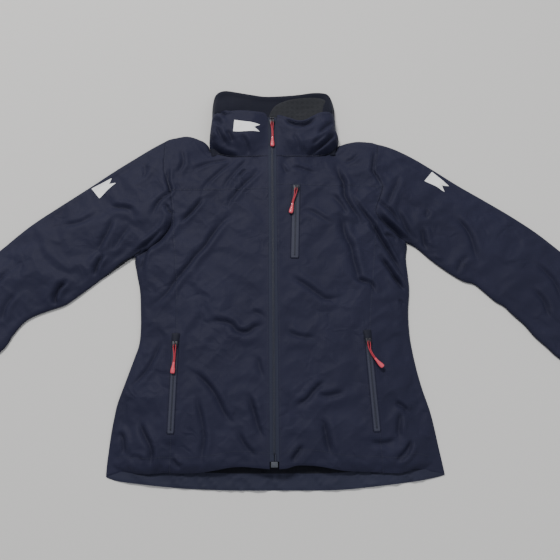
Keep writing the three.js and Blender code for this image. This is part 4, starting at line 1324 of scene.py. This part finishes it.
def collar_back_height(x, y, edge):
    """Back of the collar with a roll along its edge and a hollow inside that."""
    swell = 0.8 * noise(x, y, 45, 61) + 0.5 * noise(x, y, 18, 62)
    return (6.2 + rounded_rim(edge, 5.5) * (3.6 + swell)
            + 3.2 * bell(edge - 7, 6.0) * ease(600, 660, y) - 2.4 * ease(14, 40, edge))


def build_collar_back():
    """Back of the collar, its inner face showing above the front."""
    grid = coons(points(-119,566, 122,566), COLLAR_BACK_EDGE,
                 points(-119,566, -120.5,600, -118,655),
                 points(122,566, 125,600, 122.5,650), 90, 44)
    x, y = split(grid)
    edge = distance_to(x, y, COLLAR_BACK_OUTLINE)
    rim = rounded_rim(edge, 5.5)
    # the sides rise to meet the front, more gently further in
    corners = (12.0 * (ease(-52, -112, x) + ease(92, 118, x)) * ease(700, 655, y)
               * ease(0, 9, edge) * ease(634, 652, y))
    slope = 5.0 * ease(10, -112, x) * ease(716, 668, y) * ease(0, 14, edge) * ease(620, 650, y)
    top = collar_back_height(x, y, edge) + rim * 0.12 * noise(x, y, 6, 63) + corners + slope
    bottom = np.maximum(6.2 - rim * 4.6, 1.2)
    verts = np.vstack([at_height(grid, z).reshape(-1, 3) for z in (top, bottom)])
    faces, _ = sheet_faces(*x.shape)
    attach(make("collar_back", verts, faces, COLLAR_INSIDE), "shell")


def build_collar_fleece():
    """Fleece on the inside of the collar's back."""
    grid = coons(points(-8,600, 111,600), FLEECE_EDGE, points(-8,600, -8,640),
                 points(111,600, 111,650), 70, 40)
    x, y = split(grid)
    edge = distance_to(x, y, FLEECE_EDGE)
    z = collar_back_height(x, y, distance_to(x, y, COLLAR_BACK_OUTLINE))
    z += (0.2 + 1.5 * rounded_rim(edge, 3.5) + 0.25 * noise(x, y, 4, 64)
          + 0.9 * noise(x, y, 26, 65) * ease(0, 10, edge))
    fleece = shell("collar_fleece", at_height(grid, z), 0.6, FLEECE)
    attach(fleece, "fleece", "collar_lining")


# ---------------------------------------------------------------- zips
ZIP_FOOT, ZIP_TOP = [corner[1] * 1000 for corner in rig.box("main_zip_left_tape")[:2]]


def zip_tape(name, node, start, end, width, z, dome, thickness, material, steps,
             span=(-1, 1)):
    """A gently domed tape between two points; span picks part of its width, -1 to 1."""
    along = (end - start) / np.linalg.norm(end - start)
    across = array([-along[1], along[0]])
    u = np.linspace(*span, steps[0] + 1) * width / 2
    v = np.linspace(0, 1, steps[1] + 1)[:, None]
    grid = start + (end - start) * v[..., None] + across * u[None, :, None]
    height = z + dome * (1 - (np.abs(u) / (width / 2)) ** 2)[None, :]
    height = height + 0.06 * noise(*split(grid), 9, 71)
    tape = shell(name, at_height(grid, height), thickness, material)
    attach(tape, "zip_tape", node)


def build_main_zip_half(side):
    name, sign = side.name, side.sign
    zip_tape(f"main_zip_{name}_tape_cloth", f"main_zip_{name}_tape", array([0, ZIP_FOOT]),
             array([0, ZIP_TOP]), width=14.9, z=ZIP_HEIGHT, dome=0.28, thickness=0.7,
             material=ZIP_TAPE, steps=(8, 150), span=(-1, -0.04) if sign > 0 else (0.04, 1))
    y = np.arange(17.5, ZIP_TOP - 5, 1.45)
    stagger = 0.36 if sign > 0 else 0
    centres = np.stack([np.full(len(y), sign * 1.05), y + stagger, np.full(len(y), 24.75)], 1)
    ribs = bars("ribs", centres, (1.0, 0.12 * sign, 0), (-0.12 * sign, 1.0, 0),
                (1.55, 0.85, 0.75), ZIP_COIL)
    bead = sweep("bead", [[sign * 0.95, y, 24.48] for y in np.linspace(17, ZIP_TOP - 5, 120)],
                 0.98, ZIP_COIL, seg=8, flat=0.45)
    coil = join(f"main_zip_{name}_coil_teeth", [bead, ribs])
    attach(coil, "zip_coil", f"main_zip_{name}_coil")


def build_slider(prefix, x, y, z, turn):
    """Top plate, two side lips and an arch for the pull, above a tape at height z."""
    outline = points(-4.6,6.0, -4.9,2.0, -3.6,-5.2, -2.4,-6.0, 2.4,-6.0, 3.6,-5.2, 4.9,2.0,
                     4.6,6.0, 1.6,6.0, 0,4.6, -1.6,6.0)
    parts = [plate("plate", round_corners(outline, 4, 0.9), z + 2.15, z + 3.5, 0.5, METAL)]
    for s in (-1, 1):
        lip = [[s * 4.25, 5.4, z + 1.5], [s * 4.35, 1.5, z + 1.45],
               [s * 3.6, -2.0, z + 1.45], [s * 3.1, -5.0, z + 1.5]]
        parts.append(sweep("lip", lip, 0.72, METAL, seg=10, flat=1.05))
    arch = spline([[0, -4.4, z + 3.1], [0, -4.3, z + 5.2], [0, -3.2, z + 6.6], [0, 0, z + 7.05],
                   [0, 2.6, z + 6.6], [0, 3.6, z + 5.0], [0, 3.8, z + 3.1]], 30)
    parts.append(sweep("arch", arch, 0.95, METAL, seg=12, flat=0.62, up=(0, 0.3, 1)))
    node = f"{prefix}_slider"
    slider = join(f"{node}_body", parts)
    place(slider, x, y, turn)
    attach(slider, "slider_metal", node, body=node)


def build_pull(prefix, x, y, z, turn, tip, bend):
    """Cord loop through the slider's arch, with a moulded grip at its end.

    tip is the end's x, y from the slider, bend the sideways sway.
    """
    tip_x, tip_y = tip
    reach = math.hypot(tip_x, tip_y)
    rest = z + 3.4
    path = spline([[0, 0.2, z + 4.9], [bend * 0.10, -4, z + 4.6],
                   [bend * 0.6, -reach * 0.28, rest + 0.35],
                   [bend * 1.0 + tip_x * 0.2, -reach * 0.5, rest],
                   [tip_x * 0.62 + bend * 0.4, -reach * 0.74, rest],
                   [tip_x, tip_y, rest - 0.1]], 60)
    wide = unit(np.cross(unit(np.gradient(path, axis=0)), array([0, 0, 1.0])))
    share = np.linspace(0, 1, len(path))
    spread = 1.9 * ease(0.0, 0.04, share) * (1 - 0.52 * ease(0.10, 0.34, share))
    free = share < 0.74
    parts = [sweep("strand", path[free] + wide[free] * (s * spread[free])[:, None], 0.95,
                   PULL_CORD, seg=9) for s in (-1, 1)]
    bight = [path[0] + wide[0] * 1.9 * s + [0, 0.5 * (1 - abs(s)), 0]
             for s in np.linspace(-1, 1, 7)]
    parts.append(sweep("bight", bight, 0.9, PULL_CORD, seg=9))
    cord = join(f"{prefix}_zip_pull_cord", parts)

    held = share >= 0.60
    core, wide = path[held], wide[held]
    share = np.linspace(0, 1, len(core))
    half = (2.1 + 1.65 * ease(0.15, 0.75, share) - 0.55 * ease(0.86, 1.0, share)
            - 1.7 * ease(0.955, 1.0, share))
    half[0] = 1.5
    parts = [sweep("grip", core + [0, 0, 0.05], half, PULL_GRIP, seg=18, flat=0.52)]
    for station in (0.30, 0.42, 0.54, 0.66):         # raised ribs across the grip
        i = int(station * (len(core) - 1))
        arc = [core[i] + wide[i] * half[i] * 0.8 * c
               + [0, 0, 0.05 + half[i] * 0.52 * math.sqrt(max(0, 1 - (0.8 * c) ** 2))]
               for c in np.linspace(-1, 1, 9)]
        parts.append(sweep("rib", arc, 0.32, PULL_GRIP, seg=6, up=(0, 1, 0.2)))
    grip = join(f"{prefix}_zip_pull_grip", parts)
    body = f"{prefix}_pull"
    for obj, replaced in ((cord, []), (grip, [body])):
        place(obj, x, y, turn)
        attach(obj, "pull", *replaced, body=body)


def build_main_pull():
    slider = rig.box("main_slider")
    y = (slider[0][1] + slider[1][1]) * 500          # the middle, in mm
    build_slider("main", 0, y, ZIP_HEIGHT, 0)
    build_pull("main", 0, y - 0.4, ZIP_HEIGHT, 0, tip=(0.4, -53.5), bend=0.8)


def build_pocket_zip(pocket):
    name, width = pocket.name, pocket.width
    top, bottom = pocket.line
    length = math.hypot(*(top - bottom))
    along = (top - bottom) / length
    across = array([-along[1], along[0]])
    zip_tape(f"{name}_tape_cloth", f"{name}_zip_tape", bottom, top, width=width - 0.4, z=24.45,
             dome=0.25, thickness=0.55, material=WELDED_TAPE, steps=(10, 50))

    parts = []
    for offset in (-0.5, 0.5):
        path = [[*(bottom + along * s + across * offset), 24.85]
                for s in np.linspace(4, length - 4, 40)]
        parts.append(sweep("chain", path, 0.42, ZIP_COIL, seg=8))
    centres = [[*(bottom + along * s + across * (0.75 if i % 2 else -0.75)), 24.92]
               for i, s in enumerate(np.arange(5, length - 5, 1.3))]
    parts.append(bars("teeth", centres, (*across, 0), (*along, 0), (1.1, 0.7, 0.5), ZIP_COIL))
    attach(join(f"{name}_coil_teeth", parts), "zip_coil", f"{name}_zip_coil")

    # welded rim along both sides and across the lower end
    edge = across * (width / 2 + 0.4)
    below = bottom - along * 1.2
    parts = []
    for start, end in ((bottom - edge, top - edge), (top + edge, bottom + edge),
                       (below + edge, below - edge)):
        path = [[*(start + (end - start) * k), 24.3] for k in np.linspace(0, 1, 40)]
        parts.append(sweep("rim", path, 0.75, SHELL, seg=8, flat=0.7))
    attach(join(f"{name}_welt", parts), "shell")

    if pocket.garage:                # a little hood over the upper end
        u, v = np.meshgrid(np.linspace(-1, 1, 15), np.linspace(0, 1, 13))
        grid = (top + across * (u * (width / 2 + 1.6))[..., None]
                + along * (v * 15 - 3.5)[..., None])
        z = (24.9 + 2.6 * (1 - u ** 2) * (1 - 0.75 * v) * ease(-0.05, 0.2, 1 - v)
             - 0.8 * np.abs(u) ** 6)
        attach(shell(f"{name}_garage", at_height(grid, z), 0.6, ZIP_GARAGE), "shell_dark")

    turn = math.atan2(bottom[0] - top[0], top[1] - bottom[1])
    sin, cos = math.sin(turn), math.cos(turn)
    x, y = top[0] + 9 * sin, top[1] - 9 * cos        # the slider sits 9 mm down its zip
    build_slider(name, x, y, 24.95, turn)
    build_pull(name, x + sin * 0.4, y - cos * 0.4, 24.95, turn, pocket.tip, pocket.bend)


def build_zip_ends():
    """Box and pin at the foot of the front zip, stops at its top."""
    base = round_corners(points(-5.6,-2.4, 5.6,-2.4, 5.6,5.4, 4.4,6.2, -4.4,6.2, -5.6,5.4),
                         5, 1.0)
    pad = round_corners(points(-3.8,-0.6, 3.8,-0.6, 3.8,3.6, -3.8,3.6), 4, 0.8)
    parts = [plate("base", base, 22.6, 26.0, 0.9, GREY_PLASTIC),
             plate("pad", pad, 25.8, 26.25, 0.2, GREY_PLASTIC)]
    attach(join("main_zip_box", parts), "hardware_grey", "main_zip_bottom_box")
    pin = sweep("main_zip_pin", spline([[1.5, 6.6, 25.1], [1.5, 12, 25.1], [1.5, 17, 25.0]], 14),
                0.95, ZIP_COIL, seg=12, flat=0.8)
    attach(pin, "hardware_grey", "main_zip_insertion_pin")
    for side in (LEFT, RIGHT):
        x0, x1 = side.sign * 2.1 - 1.5, side.sign * 2.1 + 1.5
        y0, y1 = ZIP_TOP - 3.4, ZIP_TOP - 1.0
        outline = round_corners(points(x0, y0, x1, y0, x1, y1, x0, y1), 4, 0.6)
        stop = plate(f"main_zip_{side.name}_stop", outline, 24.3, 26.0, 0.5, METAL)
        attach(stop, "slider_metal", f"main_zip_{side.name}_top_stop")


# ---------------------------------------------------------------- cuffs
CUFF_TAB_REACH = 586         # from the sleeve's root to the tab's centre line


def cuff_strip(name, side, half_widths, span, lift_by, tip, thickness, material):
    """A strip across the cuff; tip narrows its upper end, span is measured from 30 mm below."""
    u, v = np.meshgrid(np.linspace(-1, 1, 17), np.linspace(0, 1, 31))
    half = half_widths[0] + (half_widths[1] - half_widths[0]) * v
    half = half - tip * np.clip((v - 0.86) / 0.14, 0, 1) ** 2
    grid = (side.root + side.along * (CUFF_TAB_REACH + (u * half)[..., None])
            + side.across * (-30 + span[0] + (span[1] - span[0]) * v)[..., None])
    return shell(name, at_height(grid, front_height(*split(grid)) + lift_by), thickness, material)


def build_cuff(side):
    tab = f"{side.name}_cuff_tab"
    strap = cuff_strip(f"{tab}_strap", side, half_widths=(15.5, 14.0), span=(0, 60),
                       lift_by=2.4, tip=7.0, thickness=1.1, material=CUFF_TAB)
    attach(strap, "shell_dark", tab, body=tab)
    strip = cuff_strip(f"{side.name}_cuff_loop_strip", side, half_widths=(12.5, 12.5),
                       span=(-6, 74), lift_by=1.0, tip=0.0, thickness=0.7, material=LOOP_TAPE)
    attach(strip, "shell_dark", body=f"{side.name}_forearm")


# ---------------------------------------------------------------- emblems
def build_emblem(prefix, centre, width, height, angle, ground, side=None):
    """Plain swallow-tailed pennant lying on the object named ground, on a sleeve if side is set."""
    u, v = np.meshgrid(np.linspace(0, 1, 25), np.linspace(-1, 1, 15))
    x = -width / 2 + u * (width - 11 * (1 - np.abs(v)) * u)
    y = v * (height / 2) * (1 - 0.42 * u)
    cos, sin = math.cos(angle), math.sin(angle)
    grid = np.stack([centre[0] + x * cos - y * sin, centre[1] + x * sin + y * cos], -1)
    z = surface_height(bpy.data.objects[ground])(*split(grid)) + 0.45
    pennant = shell(f"{prefix}_pennant", at_height(grid, z), 0.3, EMBLEM_FILM)
    if side is None:
        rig.ride(pennant, "torso")
    else:
        blend_shoulder(pennant, side)
    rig.replaces(pennant, f"{prefix}_emblem")
    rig.slot(pennant, "emblem")


def build_emblems():
    build_emblem("collar", (-48, 616), 50, 27, -0.06, "right_collar_front")
    for side, centre in ((RIGHT, (-317, 504)), (LEFT, (311, 505))):
        angle = math.atan2(-0.632 * side.sign, 0.775)
        build_emblem(f"{side.name}_sleeve", centre, 42, 26, angle,
                     f"{side.name}_sleeve_top_cloth", side)


def finish_carried_nodes():
    """The CAD nodes that stay inside the hem and neck get their finish."""
    for name, material in (
            ("hem_drawcord", ELASTIC),
            ("left_hem_lock_body", BLACK_PLASTIC), ("right_hem_lock_body", BLACK_PLASTIC),
            ("left_hem_lock_plunger", GREY_PLASTIC), ("right_hem_lock_plunger", GREY_PLASTIC),
            ("hanger_loop", ZIP_TAPE)):
        materials = frame["nodes"][name].data.materials
        materials.clear()
        materials.append(material)


# ---------------------------------------------------------------- floor, light, camera (metres)
CAMERA_PLACE = (0.01202082, -0.00448688, 0.9731353)
CAMERA_TILT = 0.320005355    # radians from straight down, towards +Y
CAMERA_ROLL = -0.011
CAMERA_LENS = 36.6428571     # mm, on a 36 mm sensor


def build_floor():
    half = 6000
    floor = make("floor", [[-half, -half, 0], [half, -half, 0], [half, half, 0],
                           [-half, half, 0]], [[0, 1, 2, 3]], smooth=False)
    graph = Graph("floor")
    graph.fill(graph.shader, {"Base Color": (0.74, 0.73, 0.71, 1), "Roughness": 0.85,
                              "Specular IOR Level": 0.1})
    floor.data.materials.append(graph.material)
    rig.stage(floor)


def build_world():
    world = bpy.data.worlds.new("w")
    bpy.context.scene.world = world
    world.use_nodes = True
    background = world.node_tree.nodes["Background"]
    background.inputs["Color"].default_value = (0.93, 0.95, 1.0, 1)
    background.inputs["Strength"].default_value = 0.39


def area_light(name, location, size, power, colour, aim=(0, 0.3, 0)):
    light = bpy.data.lights.new(name, "AREA")
    light.shape = "RECTANGLE"
    light.size, light.size_y = size
    light.energy = power
    light.color = colour
    obj = bpy.data.objects.new(name, light)
    bpy.context.scene.collection.objects.link(obj)
    obj.location = location
    direction = Vector(aim) - Vector(location)
    obj.rotation_euler = direction.to_track_quat("-Z", "Y").to_euler()


def build_camera():
    camera = bpy.data.cameras.new("camera")
    camera.lens = CAMERA_LENS
    camera.sensor_width = 36.0
    camera.clip_start = 0.01
    obj = bpy.data.objects.new("camera", camera)
    bpy.context.scene.collection.objects.link(obj)
    obj.matrix_world = (Matrix.Translation(CAMERA_PLACE) @ Matrix.Rotation(CAMERA_TILT, 4, "X")
                        @ Matrix.Rotation(CAMERA_ROLL, 4, "Z"))
    bpy.context.scene.camera = obj


# ---------------------------------------------------------------- build
for side in SIDES:
    build_front(side)
build_back()
build_tail()
for side in SIDES:
    build_sleeve(side)
for side in SIDES:
    build_front_lining(side)
build_hung_pieces()
for side in SIDES:
    build_collar_front(side)
build_collar_back()
build_collar_fleece()
for side in (LEFT, RIGHT):
    build_main_zip_half(side)
build_main_pull()
for pocket in POCKETS:
    build_pocket_zip(pocket)
build_zip_ends()
for side in SIDES:
    build_cuff(side)
build_emblems()
for side in SIDES:
    sew_cuff(side)
build_stitches()
finish_carried_nodes()
build_floor()
build_world()
area_light("key", location=(-1.1, 2.5, 3.1), size=(1.15, 0.8), power=122,
           colour=(1.0, 0.99, 0.97))
area_light("fill", location=(1.9, -0.6, 2.1), size=(2.0, 2.0), power=17,
           colour=(0.95, 0.97, 1.0))
build_camera()

with open("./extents.json", "w") as size_file:
    json.dump({"cad": CAD_BOX, "visual": [list(corner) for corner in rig.bounds()]}, size_file)
